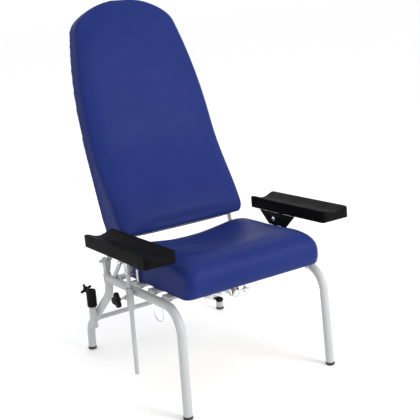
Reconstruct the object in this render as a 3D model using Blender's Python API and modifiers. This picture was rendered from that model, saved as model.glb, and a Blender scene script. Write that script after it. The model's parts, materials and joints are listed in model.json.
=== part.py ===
"""Patient chair for blood sampling: reclining back, welded tube frame, two adjustable arm gutters.

Frame: +Z up, origin on the floor under the middle of the chair, the sitter faces -Y.
"left" is the -X side and "right" the +X side, as seen by somebody who stands in front.
Units are metres.
"""
import math

import bmesh
import bpy
from mathutils import Matrix, Vector

# ---------------------------------------------------------------- driving dimensions
GAP = 0.0003                      # clearance left between pieces that touch
TUBE_RADIUS = 0.015               # 30 mm frame tube

# side frames: each lies in a plane that leans outwards towards the floor
RAIL_X, RAIL_Z, FRAME_SPLAY = 0.289, 0.345, 0.028
SEAT_TILT = math.radians(2.7)     # rails and seat rise towards the front
RAIL_REF_Y, RAIL_REF_Z = -0.233, 0.354
FRONT_FOOT_Y, FRONT_RAKE = -0.348, 0.051
REAR_FOOT_Y, REAR_BEND_Z = 0.352, 0.0957
KNEE_Y, KNEE_Z = 0.1575, 0.2833
FOOT_CAP_HEIGHT, FOOT_CAP_RADIUS = 0.009, 0.0160
LEG_END_Z = FOOT_CAP_HEIGHT + 0.0014   # the slanted tube end clears the cap

# backrest hinge, carried by two uprights that stand on the knees of the rear legs
HINGE_Y, HINGE_Z = 0.185, 0.398
UPRIGHT_LEAN = math.radians(13.5)
HINGE_BOLT_RADIUS = 0.005

# backrest: the rear plane of its board
BACK_Y, BACK_Z = 0.189, 0.447
BACK_LEAN = math.radians(20.4)
BACK_LENGTH, BACK_TOP_ROUNDING = 0.890, 0.105
BACK_THICK_LOW, BACK_THICK_HIGH, BACK_LUMBAR_END = 0.128, 0.066, 0.37
BOARD_THICKNESS = 0.012
ARM_PLATE_X, ARM_PLATE_THICKNESS = 0.2700, 0.006
BAR_OVERHANG = 0.0005              # the two bars end this far outside the hinge plates
CARRIER_ALONG, CARRIER_RADIUS, BATTEN_X = 0.036, 0.0090, 0.150

# seat
SEAT_FRONT_Y, SEAT_REAR_Y, SEAT_HALF_WIDTH = -0.362, 0.118, 0.269
SEAT_SIDE_HEIGHT, SEAT_DISH = 0.112, 0.020
SLATS = {"rear": (0.085, 0.035), "middle": (-0.035, 0.070), "inner": (-0.1425, 0.045), "front": (-0.235, 0.045)}
SLAT_HEIGHT, SLAT_HALF_LENGTH = 0.010, 0.2845

# arm rests: a rod slides in a sleeve on the rail and carries a head, plate and gutter
ROD_X, ROD_Y, ROD_RADIUS = 0.320, -0.058, 0.0075
ROD_TOP_Z = 0.415
ROD_TIP_Z = {"left": 0.053, "right": 0.266}
SLEEVE_LOW_Z, SLEEVE_HIGH_Z, SLEEVE_RADIUS = 0.290, 0.368, 0.0125
ARM_PIVOT_Z = 0.4815
HEAD_INNER_X, HEAD_OUTER_X = 0.2985, 0.3285
PAD_X, PAD_REAR_Y, PAD_LENGTH = 0.348, 0.0755, 0.4235
PAD_WIDTH, PAD_THICKNESS, PAD_HOLLOW = 0.111, 0.043, 0.013
PAD_TOP_Z = 0.5485
CLAMP_Z = 0.338

# drip-stand socket on the left rear leg
SOCKET_X, SOCKET_Y = -0.3255, 0.250
SOCKET_TUBE_RADIUS, SOCKET_BORE_RADIUS = 0.0135, 0.0100
SOCKET_SLEEVE_RADIUS = 0.0180
SOCKET_LOW_Z, SOCKET_SLEEVE_Z, SOCKET_TOP_Z = 0.128, 0.2120, 0.2765
SOCKET_KNOB_Z = 0.2660

# gas spring between the front slat and the crank bar under the hinge
CRANK_Y, CRANK_Z, CRANK_BAR_RADIUS = 0.219, 0.304, 0.010
LUG_Y, LUG_Z, LUG_HOLE_RADIUS = 0.205, 0.322, 0.0070
LUG_PIN_DROP = 0.0024             # at rest the pin lies this far below the middle of its hole
SPRING_X, SPRING_Y, SPRING_Z = -0.035, -0.262, 0.3345
SPRING_RADIUS, SPRING_ROD_RADIUS = 0.014, 0.005
SPRING_BODY_LENGTH, SPRING_HEAD_LENGTH = 0.285, 0.034

# release lever under the front edge of the seat
LEVER_X, LEVER_Y, LEVER_Z = -0.156, -0.296, 0.362
LEVER_TIP, LEVER_PIN_RADIUS = Vector((-0.108, 0.346)), 0.0030
LINK_Z, LINK_RADIUS = LEVER_Z + 0.0060, 0.0015

SIDES = {"left": -1.0, "right": 1.0}


# ---------------------------------------------------------------- scene and materials
def clear_scene():
    for item in list(bpy.data.objects):
        bpy.data.objects.remove(item, do_unlink=True)


def new_collection(name):
    group = bpy.data.collections.new(name)
    bpy.context.scene.collection.children.link(group)
    return group


def material(name, colour, roughness, metallic=0.0):
    mat = bpy.data.materials.new(name)
    mat.use_nodes = True
    shader = mat.node_tree.nodes["Principled BSDF"]
    shader.inputs["Base Color"].default_value = (*colour, 1.0)
    shader.inputs["Roughness"].default_value = roughness
    shader.inputs["Metallic"].default_value = metallic
    return mat


clear_scene()
PARTS = new_collection("patient_chair")
CUTTERS = new_collection("cutters")
MATERIALS = {
    "white_paint": material("white_paint", (0.78, 0.79, 0.80), 0.35),
    "blue_vinyl": material("blue_vinyl", (0.030, 0.048, 0.210), 0.42),
    "black_foam": material("black_foam", (0.012, 0.012, 0.013), 0.55),
    "black_plastic": material("black_plastic", (0.015, 0.015, 0.016), 0.45),
    "grey_plastic": material("grey_plastic", (0.05, 0.05, 0.05), 0.6),
    "zinc": material("zinc", (0.62, 0.64, 0.66), 0.35, 1.0),
    "plywood": material("plywood", (0.50, 0.34, 0.19), 0.6),
}


# ---------------------------------------------------------------- building blocks
def add_object(name, data, mat=None):
    obj = bpy.data.objects.new(name, data)
    PARTS.objects.link(obj)
    if mat:
        data.materials.append(MATERIALS[mat])
    return obj


def mesh_object(name, bm, mat=None):
    """Turn a bmesh into an object whose origin is the middle of its box."""
    low = Vector(min(v.co[i] for v in bm.verts) for i in range(3))
    high = Vector(max(v.co[i] for v in bm.verts) for i in range(3))
    middle = (low + high) / 2
    bmesh.ops.translate(bm, verts=bm.verts, vec=-middle)
    bmesh.ops.recalc_face_normals(bm, faces=bm.faces)
    mesh = bpy.data.meshes.new(name)
    bm.to_mesh(mesh)
    bm.free()
    obj = add_object(name, mesh, mat)
    obj.location = middle
    return obj


def as_cutter(obj):
    PARTS.objects.unlink(obj)
    CUTTERS.objects.link(obj)
    obj.hide_render = True
    obj.display_type = "WIRE"
    return obj


def boolean(obj, other, operation):
    mod = obj.modifiers.new(operation.lower(), "BOOLEAN")
    mod.operation = operation
    mod.object = as_cutter(other)
    return obj


def bevel(obj, width, segments=2, angle=40):
    mod = obj.modifiers.new("bevel", "BEVEL")
    mod.width = width
    mod.segments = segments
    mod.limit_method = "ANGLE"
    mod.angle_limit = math.radians(angle)
    return obj


def smooth(obj, angle=35):
    obj.data.shade_smooth()
    obj.data.set_sharp_from_angle(angle=math.radians(angle))
    return obj


def box(name, size, centre, mat=None, turn_x=0.0):
    bm = bmesh.new()
    bmesh.ops.create_cube(bm, size=1.0)
    bmesh.ops.scale(bm, vec=size, verts=bm.verts)
    bmesh.ops.rotate(bm, matrix=Matrix.Rotation(turn_x, 3, "X"), verts=bm.verts)
    bmesh.ops.translate(bm, vec=centre, verts=bm.verts)
    return mesh_object(name, bm, mat)


def rod(name, start, end, radius, mat=None, sides=16, end_radius=None):
    """A round bar, or a cone with end_radius, from start to end."""
    start, end = Vector(start), Vector(end)
    along = end - start
    bm = bmesh.new()
    bmesh.ops.create_cone(bm, cap_ends=True, segments=sides, radius1=radius,
                          radius2=radius if end_radius is None else end_radius, depth=along.length)
    turn = Vector((0, 0, 1)).rotation_difference(along).to_matrix()
    bmesh.ops.rotate(bm, matrix=turn, verts=bm.verts)
    bmesh.ops.translate(bm, vec=(start + end) / 2, verts=bm.verts)
    return smooth(mesh_object(name, bm, mat))


def turned(name, profile, base, direction, mat=None, sides=20):
    """A turned piece: profile holds (radius, height) pairs, from the bottom to the top."""
    heights = [height for _, height in profile]
    rims = [(radius, 0.0, height) for radius, height in reversed(profile)]
    points = [(0.0, 0.0, heights[-1])] + rims + [(0.0, 0.0, heights[0])]
    mesh = bpy.data.meshes.new(name)
    mesh.from_pydata(points, [(i, i + 1) for i in range(len(points) - 1)], [])
    obj = add_object(name, mesh, mat)
    obj.location = base
    obj.rotation_mode = "QUATERNION"
    obj.rotation_quaternion = Vector((0, 0, 1)).rotation_difference(Vector(direction))
    screw = obj.modifiers.new("turn", "SCREW")
    screw.axis = "Z"
    screw.steps = screw.render_steps = sides
    screw.use_merge_vertices = True
    screw.merge_threshold = 0.0001
    return obj


def rounded_path(corners, radii, step=math.radians(12)):
    """Points of a path whose corners are replaced by arcs of the given radii."""
    points = [Vector(corners[0])]
    for before, corner, after, radius in zip(corners, corners[1:], corners[2:], radii):
        before, corner, after = Vector(before), Vector(corner), Vector(after)
        back, ahead = (before - corner).normalized(), (after - corner).normalized()
        turn = math.pi - back.angle(ahead)
        reach = radius * math.tan(turn / 2)
        centre = corner + (back + ahead).normalized() * (radius / math.cos(turn / 2))
        first = corner + back * reach - centre
        side = -back * radius
        count = max(2, round(turn / step))
        for i in range(count + 1):
            angle = turn * i / count
            points.append(centre + first * math.cos(angle) + side * math.sin(angle))
    points.append(Vector(corners[-1]))
    return points


def tube(name, points, radius, mat=None, resolution=6):
    """A tube, wire or bar along points, as a curve with filled caps."""
    curve = bpy.data.curves.new(name, "CURVE")
    curve.dimensions = "3D"
    curve.bevel_depth = radius
    curve.bevel_resolution = resolution
    curve.use_fill_caps = True
    spline = curve.splines.new("POLY")
    spline.points.add(len(points) - 1)
    origin = sum((Vector(p) for p in points), Vector()) / len(points)
    for knot, point in zip(spline.points, points):
        knot.co = (*(Vector(point) - origin), 1.0)
    obj = add_object(name, curve, mat)
    obj.location = origin
    return obj


def curve_to_mesh(obj, mat=None):
    """Replace a curve by its closed mesh, so that it can be cut or joined."""
    bpy.context.view_layer.update()
    graph = bpy.context.evaluated_depsgraph_get()
    mesh = bpy.data.meshes.new_from_object(obj.evaluated_get(graph))
    bm = bmesh.new()
    bm.from_mesh(mesh)
    bmesh.ops.remove_doubles(bm, verts=bm.verts, dist=0.00001)
    bmesh.ops.recalc_face_normals(bm, faces=bm.faces)
    bm.to_mesh(mesh)
    bm.free()
    name, matrix = obj.name, obj.matrix_world.copy()
    bpy.data.objects.remove(obj, do_unlink=True)
    mesh.materials.clear()
    solid = add_object(name, mesh, mat)
    solid.matrix_world = matrix
    return smooth(solid)


def outline(name, points, thickness, matrix, mat=None):
    """A flat plate: its outline in the local XY plane, half the thickness to each side."""
    curve = bpy.data.curves.new(name, "CURVE")
    curve.dimensions = "2D"
    curve.fill_mode = "BOTH"
    curve.extrude = thickness / 2
    spline = curve.splines.new("POLY")
    spline.points.add(len(points) - 1)
    for knot, (x, y) in zip(spline.points, points):
        knot.co = (x, y, 0.0, 1.0)
    spline.use_cyclic_u = True
    obj = add_object(name, curve, mat)
    obj.matrix_world = matrix
    return curve_to_mesh(obj, mat)


def arc(centre, radius, start, end, count):
    """Points of an arc, with its angles in degrees."""
    angles = [math.radians(start + (end - start) * i / count) for i in range(count + 1)]
    return [(centre[0] + radius * math.cos(a), centre[1] + radius * math.sin(a)) for a in angles]


def side_plane(x):
    """Matrix of a plate that stands in the YZ plane at x: local X is +Y and local Y is +Z."""
    return Matrix(((0, 0, 1, x), (1, 0, 0, 0), (0, 1, 0, 0), (0, 0, 0, 1)))


def front_plane(y):
    """Matrix of a plate that stands in the XZ plane at y: local X is +X and local Y is +Z."""
    return Matrix(((1, 0, 0, 0), (0, 0, -1, y), (0, 1, 0, 0), (0, 0, 0, 1)))


# ---------------------------------------------------------------- places shared by several parts
def frame_x(z):
    return RAIL_X + FRAME_SPLAY * (RAIL_Z - z)


def frame_point(sign, y, z):
    return Vector((sign * frame_x(z), y, z))


def rail_z(y):
    return RAIL_REF_Z - (y - RAIL_REF_Y) * math.tan(SEAT_TILT)


def seat_base_z(y):
    """Underside of the seat, which lies on the slats."""
    return rail_z(y) + TUBE_RADIUS + SLAT_HEIGHT + 2 * GAP


def back_point(x, along, out):
    """A point of the backrest: along its board from the bottom, and out from the board's rear plane."""
    sin, cos = math.sin(BACK_LEAN), math.cos(BACK_LEAN)
    return Vector((x, BACK_Y + along * sin - out * cos, BACK_Z + along * cos + out * sin))


def back_half_width(along):
    """Half the cushion's width: widest at the waist, tapered above it, and round at the top."""
    stations = [(0.0, 0.247), (0.18, 0.257), (0.40, 0.255), (0.60, 0.238), (0.80, 0.206), (1.0, 0.160)]
    width = stations[-1][1]
    for (s0, w0), (s1, w1) in zip(stations, stations[1:]):
        if along <= s1:
            width = w0 + (w1 - w0) * (along - s0) / (s1 - s0)
            break
    rise = max(0.0, (along - (BACK_LENGTH - BACK_TOP_ROUNDING)) / BACK_TOP_ROUNDING)
    return width * math.sqrt(max(0.0, 1 - min(rise, 1.0) ** 2.4))


def back_thickness(along):
    share = min(1.0, along / BACK_LUMBAR_END)
    ease = share * share * (3 - 2 * share)
    return BACK_THICK_LOW + (BACK_THICK_HIGH - BACK_THICK_LOW) * ease


# ---------------------------------------------------------------- frame
def rear_leg(side, sign):
    """Foot, bend, slope and knee of one rear leg; its top receives the rail."""
    top_z = 0.353
    top_y = HINGE_Y + (top_z - HINGE_Z) * math.tan(UPRIGHT_LEAN)
    corners = [frame_point(sign, REAR_FOOT_Y, LEG_END_Z),
               frame_point(sign, REAR_FOOT_Y, REAR_BEND_Z),
               frame_point(sign, KNEE_Y, KNEE_Z),
               frame_point(sign, top_y, top_z)]
    tube(f"rear_leg_{side}", rounded_path(corners, (0.070, 0.065)), TUBE_RADIUS, "white_paint")


def front_leg(side, sign):
    """Rail and front leg of one side, bent from one tube."""
    rail_end_y = 0.1517
    corner_y = -0.330
    corners = [frame_point(sign, rail_end_y, rail_z(rail_end_y)),
               frame_point(sign, corner_y, rail_z(corner_y)),
               frame_point(sign, FRONT_FOOT_Y + FRONT_RAKE * LEG_END_Z, LEG_END_Z)]
    tube(f"front_leg_{side}", rounded_path(corners, (0.085,)), TUBE_RADIUS, "white_paint")


def foot_caps(side, sign):
    radius, height = FOOT_CAP_RADIUS, FOOT_CAP_HEIGHT
    profile = [(radius - 0.0025, 0.0), (radius, 0.0025), (radius, height - 0.001), (radius - 0.001, height)]
    for place, y in (("front", FRONT_FOOT_Y), ("rear", REAR_FOOT_Y)):
        turned(f"foot_cap_{place}_{side}", profile, (sign * frame_x(0), y, 0), (0, 0, 1), "grey_plastic")


def rear_crossbar():
    y, z, radius = 0.318, 0.131, 0.009
    half = frame_x(z) - TUBE_RADIUS - 2 * GAP
    rod("rear_crossbar", (-half, y, z), (half, y, z), radius, "white_paint")


def seat_slats():
    """Flat cross bars on the two rails, parallel to the seat."""
    for place, (y, width) in SLATS.items():
        z = rail_z(y) + TUBE_RADIUS + GAP + SLAT_HEIGHT / 2
        slat = box(f"seat_slat_{place}", (2 * SLAT_HALF_LENGTH, width, SLAT_HEIGHT), (0, y, z), "white_paint",
                   -SEAT_TILT)
        bevel(slat, 0.0015, 2)


def hinge_upright(side, sign):
    """Flat bar with a round head that stands on the knee and holds the hinge bolt."""
    half, foot_z, head = 0.011, 0.3575, 0.0125
    lean = math.tan(UPRIGHT_LEAN)
    foot_y = HINGE_Y + (foot_z - HINGE_Z) * lean
    round_head = arc((HINGE_Y, HINGE_Z), head, 0, 180, 12)
    points = [(foot_y - half, foot_z), (foot_y + half, foot_z)] + round_head
    plate = outline(f"hinge_upright_{side}", points, 0.012, side_plane(sign * RAIL_X), "white_paint")
    hole = rod(f"hinge_hole_{side}", (sign * (RAIL_X - 0.02), HINGE_Y, HINGE_Z),
               (sign * (RAIL_X + 0.02), HINGE_Y, HINGE_Z), HINGE_BOLT_RADIUS + GAP, sides=20)
    boolean(plate, hole, "DIFFERENCE")


def hinge_bolt(side, sign):
    """Bolt of the backrest hinge: head and washer outside, plain shank through both plates."""
    shank_in, face = RAIL_X - 0.029, RAIL_X + 0.006 + GAP
    shank = rod(f"hinge_bolt_{side}", (sign * shank_in, HINGE_Y, HINGE_Z), (sign * (face + 0.004), HINGE_Y, HINGE_Z),
                HINGE_BOLT_RADIUS, "zinc")
    washer = rod(f"hinge_washer_{side}", (sign * face, HINGE_Y, HINGE_Z),
                 (sign * (face + 0.002), HINGE_Y, HINGE_Z), 0.0100, sides=20)
    head = rod(f"hinge_head_{side}", (sign * (face + 0.0015), HINGE_Y, HINGE_Z),
               (sign * (face + 0.015), HINGE_Y, HINGE_Z), 0.0080, sides=6, end_radius=0.0060)
    boolean(shank, washer, "UNION")
    boolean(shank, head, "UNION")


def seat_stay(side, sign):
    """Bar from the rail up to the side of the seat, with a bolt through its eye."""
    foot, eye, half = Vector((0.113, 0.3560)), Vector((0.058, 0.421)), 0.0085
    along = (eye - foot).normalized()
    across = Vector((along.y, -along.x)) * half
    turn = math.degrees(math.atan2(along.y, along.x))
    base = foot.y + 0.0004
    rear = foot + across + along * ((base - foot.y - across.y) / along.y)
    front = foot - across + along * ((base - foot.y + across.y) / along.y)
    points = [tuple(front), tuple(rear)] + arc(eye, half, turn - 90, turn + 90, 10)
    plate = outline(f"seat_stay_{side}", points, 0.006, side_plane(sign * RAIL_X), "white_paint")
    hole = rod(f"stay_hole_{side}", (sign * (RAIL_X - 0.01), eye.x, eye.y),
               (sign * (RAIL_X + 0.01), eye.x, eye.y), 0.0043, sides=16)
    boolean(plate, hole, "DIFFERENCE")
    inner, outer = RAIL_X - 0.0165, RAIL_X + 0.0035
    bolt = rod(f"seat_stay_bolt_{side}", (sign * inner, eye.x, eye.y), (sign * (outer + 0.003), eye.x, eye.y),
               0.0040, "zinc")
    collar = rod(f"stay_collar_{side}", (sign * (inner + 0.001), eye.x, eye.y),
                 (sign * (RAIL_X - 0.0035), eye.x, eye.y), 0.0065, sides=6)
    head = rod(f"stay_head_{side}", (sign * outer, eye.x, eye.y),
               (sign * (outer + 0.0065), eye.x, eye.y), 0.0075, sides=6)
    boolean(bolt, collar, "UNION")
    boolean(bolt, head, "UNION")


def seat_clip(side, sign):
    """Upright lug beside the seat, on a foot that lies on the middle slat."""
    y, width, thickness = -0.038, 0.014, 0.0035
    base = rail_z(y) + TUBE_RADIUS + SLAT_HEIGHT + 3 * GAP
    x = SEAT_HALF_WIDTH + 0.0045 + thickness / 2
    points = [(y - width / 2, base + 0.0015), (y + width / 2, base + 0.0015)]
    points += arc((y, base + 0.040), width / 2, 0, 180, 10)
    lug = outline(f"seat_clip_{side}", points, thickness, side_plane(sign * x), "zinc")
    foot = box(f"clip_foot_{side}", (0.012, width + 0.002, thickness), (sign * (x + 0.004), y, base + thickness / 2))
    boolean(lug, foot, "UNION")


def arm_sleeve(side, sign):
    """Tube welded to the outer side of the rail, with a threaded boss for the clamp knob."""
    sleeve = rod(f"arm_sleeve_{side}", (sign * ROD_X, ROD_Y, SLEEVE_LOW_Z), (sign * ROD_X, ROD_Y, SLEEVE_HIGH_Z),
                 SLEEVE_RADIUS, "white_paint", sides=24)
    boss = rod(f"sleeve_boss_{side}", (sign * (ROD_X + 0.010), ROD_Y, CLAMP_Z),
               (sign * (ROD_X + SLEEVE_RADIUS + 0.009), ROD_Y, CLAMP_Z), 0.0080, sides=6)
    bore = rod(f"sleeve_bore_{side}", (sign * ROD_X, ROD_Y, SLEEVE_LOW_Z - 0.01),
               (sign * ROD_X, ROD_Y, SLEEVE_HIGH_Z + 0.01), ROD_RADIUS + 0.0004, sides=24)
    thread = rod(f"sleeve_thread_{side}", (sign * ROD_X, ROD_Y, CLAMP_Z),
                 (sign * (ROD_X + 0.04), ROD_Y, CLAMP_Z), 0.0040 + GAP, sides=16)
    boolean(sleeve, boss, "UNION")
    boolean(sleeve, bore, "DIFFERENCE")
    boolean(sleeve, thread, "DIFFERENCE")
    # the flat against the rail, whose side lies a little outside the sleeve's own wall
    rail_side = RAIL_X + TUBE_RADIUS + GAP
    flat = box(f"sleeve_flat_{side}", (0.04, 0.06, 0.12), (sign * (rail_side - 0.02), ROD_Y, 0.33))
    boolean(sleeve, flat, "DIFFERENCE")


def bag_hook():
    """Thin wire hook below the left rail, for a bag: shank down from the rail, bend and free tip."""
    y_shank, y_tip, top, low = -0.199, -0.137, rail_z(-0.199) - 0.0150, 0.272
    x = -(RAIL_X - 0.013)
    corners = [(x, y_shank, top), (x, y_shank + 0.004, low), (x, y_tip - 0.006, low), (x, y_tip, 0.300)]
    tube("bag_hook", rounded_path(corners, (0.022, 0.022), math.radians(15)), 0.0016, "zinc", 2)


def rail_stud():
    """Short tapered stud below the right rail, near the front bend."""
    x, y, length = RAIL_X, -0.242, 0.012
    top = rail_z(y) - TUBE_RADIUS - 0.0005
    rod("rail_stud", (x, y, top), (x, y, top - length), 0.0033, "zinc", sides=12, end_radius=0.0016)


def drip_stand_socket():
    """Vertical tube beside the left rear leg, with a plastic sleeve and a clamp knob on top."""
    x, y = SOCKET_X, SOCKET_Y
    holder = rod("drip_socket_tube", (x, y, SOCKET_LOW_Z), (x, y, SOCKET_SLEEVE_Z - GAP),
                 SOCKET_TUBE_RADIUS, "white_paint", sides=24)
    bore = rod("socket_bore", (x, y, SOCKET_LOW_Z + 0.012), (x, y, SOCKET_TOP_Z), SOCKET_BORE_RADIUS, sides=24)
    boolean(holder, bore, "DIFFERENCE")
    sleeve = turned("drip_socket_sleeve", [(SOCKET_SLEEVE_RADIUS - 0.002, SOCKET_SLEEVE_Z),
                                           (SOCKET_SLEEVE_RADIUS, SOCKET_SLEEVE_Z + 0.002),
                                           (SOCKET_SLEEVE_RADIUS, SOCKET_TOP_Z - 0.003),
                                           (SOCKET_SLEEVE_RADIUS - 0.003, SOCKET_TOP_Z)],
                    (x, y, 0), (0, 0, 1), "black_plastic", sides=24)
    mouth = rod("sleeve_mouth", (x, y, SOCKET_SLEEVE_Z - 0.01), (x, y, SOCKET_TOP_Z + 0.01),
                SOCKET_BORE_RADIUS, sides=24)
    thread = rod("socket_thread", (x, y, SOCKET_KNOB_Z), (x, y + 0.03, SOCKET_KNOB_Z),
                 0.0030 + GAP, sides=12)
    boolean(sleeve, mouth, "DIFFERENCE")
    boolean(sleeve, thread, "DIFFERENCE")


# ---------------------------------------------------------------- knobs
def clamp_knob(side, sign):
    """Hand knob with three lobes and its stud, in the boss of the arm sleeve."""
    face, thickness, lobes, turn = ROD_X + 0.0445, 0.014, 3, math.radians(100)
    points = []
    for i in range(36):
        angle = 2 * math.pi * i / 36
        radius = 0.0225 + 0.0060 * math.cos(lobes * (angle - turn))
        points.append((ROD_Y + radius * math.cos(angle), CLAMP_Z + radius * math.sin(angle)))
    knob = outline(f"arm_clamp_knob_{side}", points, thickness, side_plane(sign * (face + thickness / 2)),
                   "black_plastic")
    collar = rod(f"clamp_collar_{side}", (sign * (face - 0.006), ROD_Y, CLAMP_Z),
                 (sign * (face + 0.003), ROD_Y, CLAMP_Z), 0.0095, sides=20)
    stud = rod(f"clamp_stud_{side}", (sign * (ROD_X + ROD_RADIUS + 0.0015), ROD_Y, CLAMP_Z),
               (sign * (face + 0.004), ROD_Y, CLAMP_Z), 0.0040)
    bevel(knob, 0.003, 2)
    boolean(knob, collar, "UNION")
    boolean(knob, stud, "UNION")


def socket_knob():
    """Cross knob of the drip-stand socket: four round arms on a hub, behind the sleeve."""
    x, z = SOCKET_X, SOCKET_KNOB_Z
    start = SOCKET_Y + SOCKET_SLEEVE_RADIUS
    hub = rod("drip_socket_knob", (x, start + 0.014, z), (x, start + 0.031, z), 0.0090, "black_plastic")
    stud = rod("socket_stud", (x, SOCKET_Y + SOCKET_BORE_RADIUS + 0.0015, z), (x, start + 0.017, z), 0.0030, sides=12)
    boolean(hub, stud, "UNION")
    for i in range(4):
        angle = math.radians(22 + 90 * i)
        across = Vector((math.cos(angle), 0, math.sin(angle)))
        centre = Vector((x, start + 0.0245, z))
        arm = rod(f"socket_knob_arm_{i}", centre + across * 0.004, centre + across * 0.023, 0.0042,
                  sides=12, end_radius=0.0036)
        boolean(hub, arm, "UNION")


# ---------------------------------------------------------------- seat
def rounded_block(name, mat, place, cuts=8):
    """A block whose grid of points is moved by place(u, v, w), with u, v and w from -1 to 1."""
    bm = bmesh.new()
    bmesh.ops.create_cube(bm, size=2.0)
    bmesh.ops.subdivide_edges(bm, edges=bm.edges, cuts=cuts, use_grid_fill=True)
    for vert in bm.verts:
        vert.co = place(*vert.co)
    obj = mesh_object(name, bm, mat)
    return smooth(obj, 60)


def rounded_plan(u, v, half_x, half_y, corner):
    """Map the square -1 to 1 onto a rectangle with round corners, ring by ring; also the ring, 0 to 1."""
    u, v = (math.copysign(1 - (1 - abs(share)) ** 1.5, share) for share in (u, v))
    ring = max(abs(u), abs(v), 1e-6)
    x, y = abs(u) / ring * half_x, abs(v) / ring * half_y
    beyond_x, beyond_y = x - (half_x - corner), y - (half_y - corner)
    if beyond_x > 0 and beyond_y > 0:
        angle = math.pi / 2 * beyond_y / (beyond_x + beyond_y)
        x = half_x - corner + corner * math.cos(angle)
        y = half_y - corner + corner * math.sin(angle)
    spread = 1 - (1 - ring) ** 1.25
    return math.copysign(x, u) * spread, math.copysign(y, v) * spread, spread


def edge_drop(inside, radius):
    """How far a rounded edge lies below the top, at this distance inside the outline."""
    if inside >= radius:
        return 0.0
    return radius - math.sqrt(radius ** 2 - (radius - inside) ** 2)


def seat_cushion_point(u, v, w):
    """Block with a raised round front roll, a dished rear and rounded edges."""
    middle, half = (SEAT_FRONT_Y + SEAT_REAR_Y) / 2, (SEAT_REAR_Y - SEAT_FRONT_Y) / 2
    x, y, spread = rounded_plan(u, v, SEAT_HALF_WIDTH, half, 0.055 if v > 0 else 0.028)
    level = (w + 1) / 2
    rear = (y / half + 1) / 2
    frontness = max(0.0, -y / half)
    radius = 0.026 + 0.022 * frontness ** 3
    height = SEAT_SIDE_HEIGHT + 0.006 * math.exp(-((y / half + 0.62) / 0.25) ** 2) - 0.010 * rear ** 2
    height -= SEAT_DISH * (1 - (x / SEAT_HALF_WIDTH) ** 2) ** 1.3 * min(1.0, rear * 1.7) ** 2
    inside = (1 - spread) * min(half, SEAT_HALF_WIDTH)
    height -= edge_drop(inside, radius)
    tuck = 0.013 * (1 - level) ** 2 * frontness ** 8
    y += middle + tuck
    return Vector((x, y, seat_base_z(y) + GAP + level * height))


def seat_cushion():
    cushion = rounded_block("seat_cushion", "blue_vinyl", seat_cushion_point, cuts=10)
    half, front, rear = 0.236, -0.320, 0.090
    middle = (front + rear) / 2
    recess = box("seat_recess", (2 * half, rear - front, 2 * (BOARD_THICKNESS + GAP)),
                 (0, middle, seat_base_z(middle)), None, -SEAT_TILT)
    boolean(cushion, recess, "DIFFERENCE")
    centre = (0, middle, seat_base_z(middle) + BOARD_THICKNESS / 2)
    box("seat_board", (2 * half - 4 * GAP, rear - front - 4 * GAP, BOARD_THICKNESS - GAP), centre,
        "plywood", -SEAT_TILT)


# ---------------------------------------------------------------- backrest
def back_cushion_point(u, v, w):
    """Tapered slab with a round top: v runs up the back and w from the board to the front."""
    along = (v + 1) / 2 * BACK_LENGTH
    level = (w + 1) / 2
    # the rows crowd towards the round top, so that its outline stays smooth
    along = BACK_LENGTH * math.sin(along / BACK_LENGTH * math.pi / 2) ** 1.25
    along = max(0.010, min(along, BACK_LENGTH - 0.002))
    width = max(back_half_width(along), 0.030)
    thick = back_thickness(along)
    edge = 0.014 * max(abs(u) ** 6, abs(v) ** 10 if v < 0 else 0.0)
    inset = 0.006 * level ** 3 * abs(u) ** 6
    rise = 0.010 * level ** 3 * abs(v) ** 10 if v < 0 else 0.0
    crown = 0.004 * (1 - u * u)
    return back_point(u * (width - inset), along + rise, level * (thick + crown - edge * level ** 2))


def back_outline(inset, low, count):
    """Outline of the board in the board's own plane: x across, y along."""
    high = BACK_LENGTH - inset
    stations = [low + (high - low) * math.sin(math.pi / 2 * i / count) for i in range(count + 1)]
    right = [(max(back_half_width(s + inset * (s / high)) - inset, 0.02), s) for s in stations]
    left = [(-x, s) for x, s in reversed(right)]
    return right + left


def back_plane(out):
    """Matrix of the board's plane: local X is +X, local Y runs up the back and local Z to the front."""
    sin, cos = math.sin(BACK_LEAN), math.cos(BACK_LEAN)
    place = back_point(0, 0, out)
    return Matrix(((1, 0, 0, place.x), (0, sin, -cos, place.y), (0, cos, sin, place.z), (0, 0, 0, 1)))


def back_cushion():
    cushion = rounded_block("back_cushion", "blue_vinyl", back_cushion_point, cuts=12)
    inset, low = 0.022, 0.035
    recess = outline("back_recess", back_outline(inset - 2 * GAP, low - 2 * GAP, 14),
                     2 * (BOARD_THICKNESS + GAP), back_plane(0))
    boolean(cushion, recess, "DIFFERENCE")
    outline("back_board", back_outline(inset, low, 14), BOARD_THICKNESS - GAP,
            back_plane(BOARD_THICKNESS / 2), "plywood")


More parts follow.
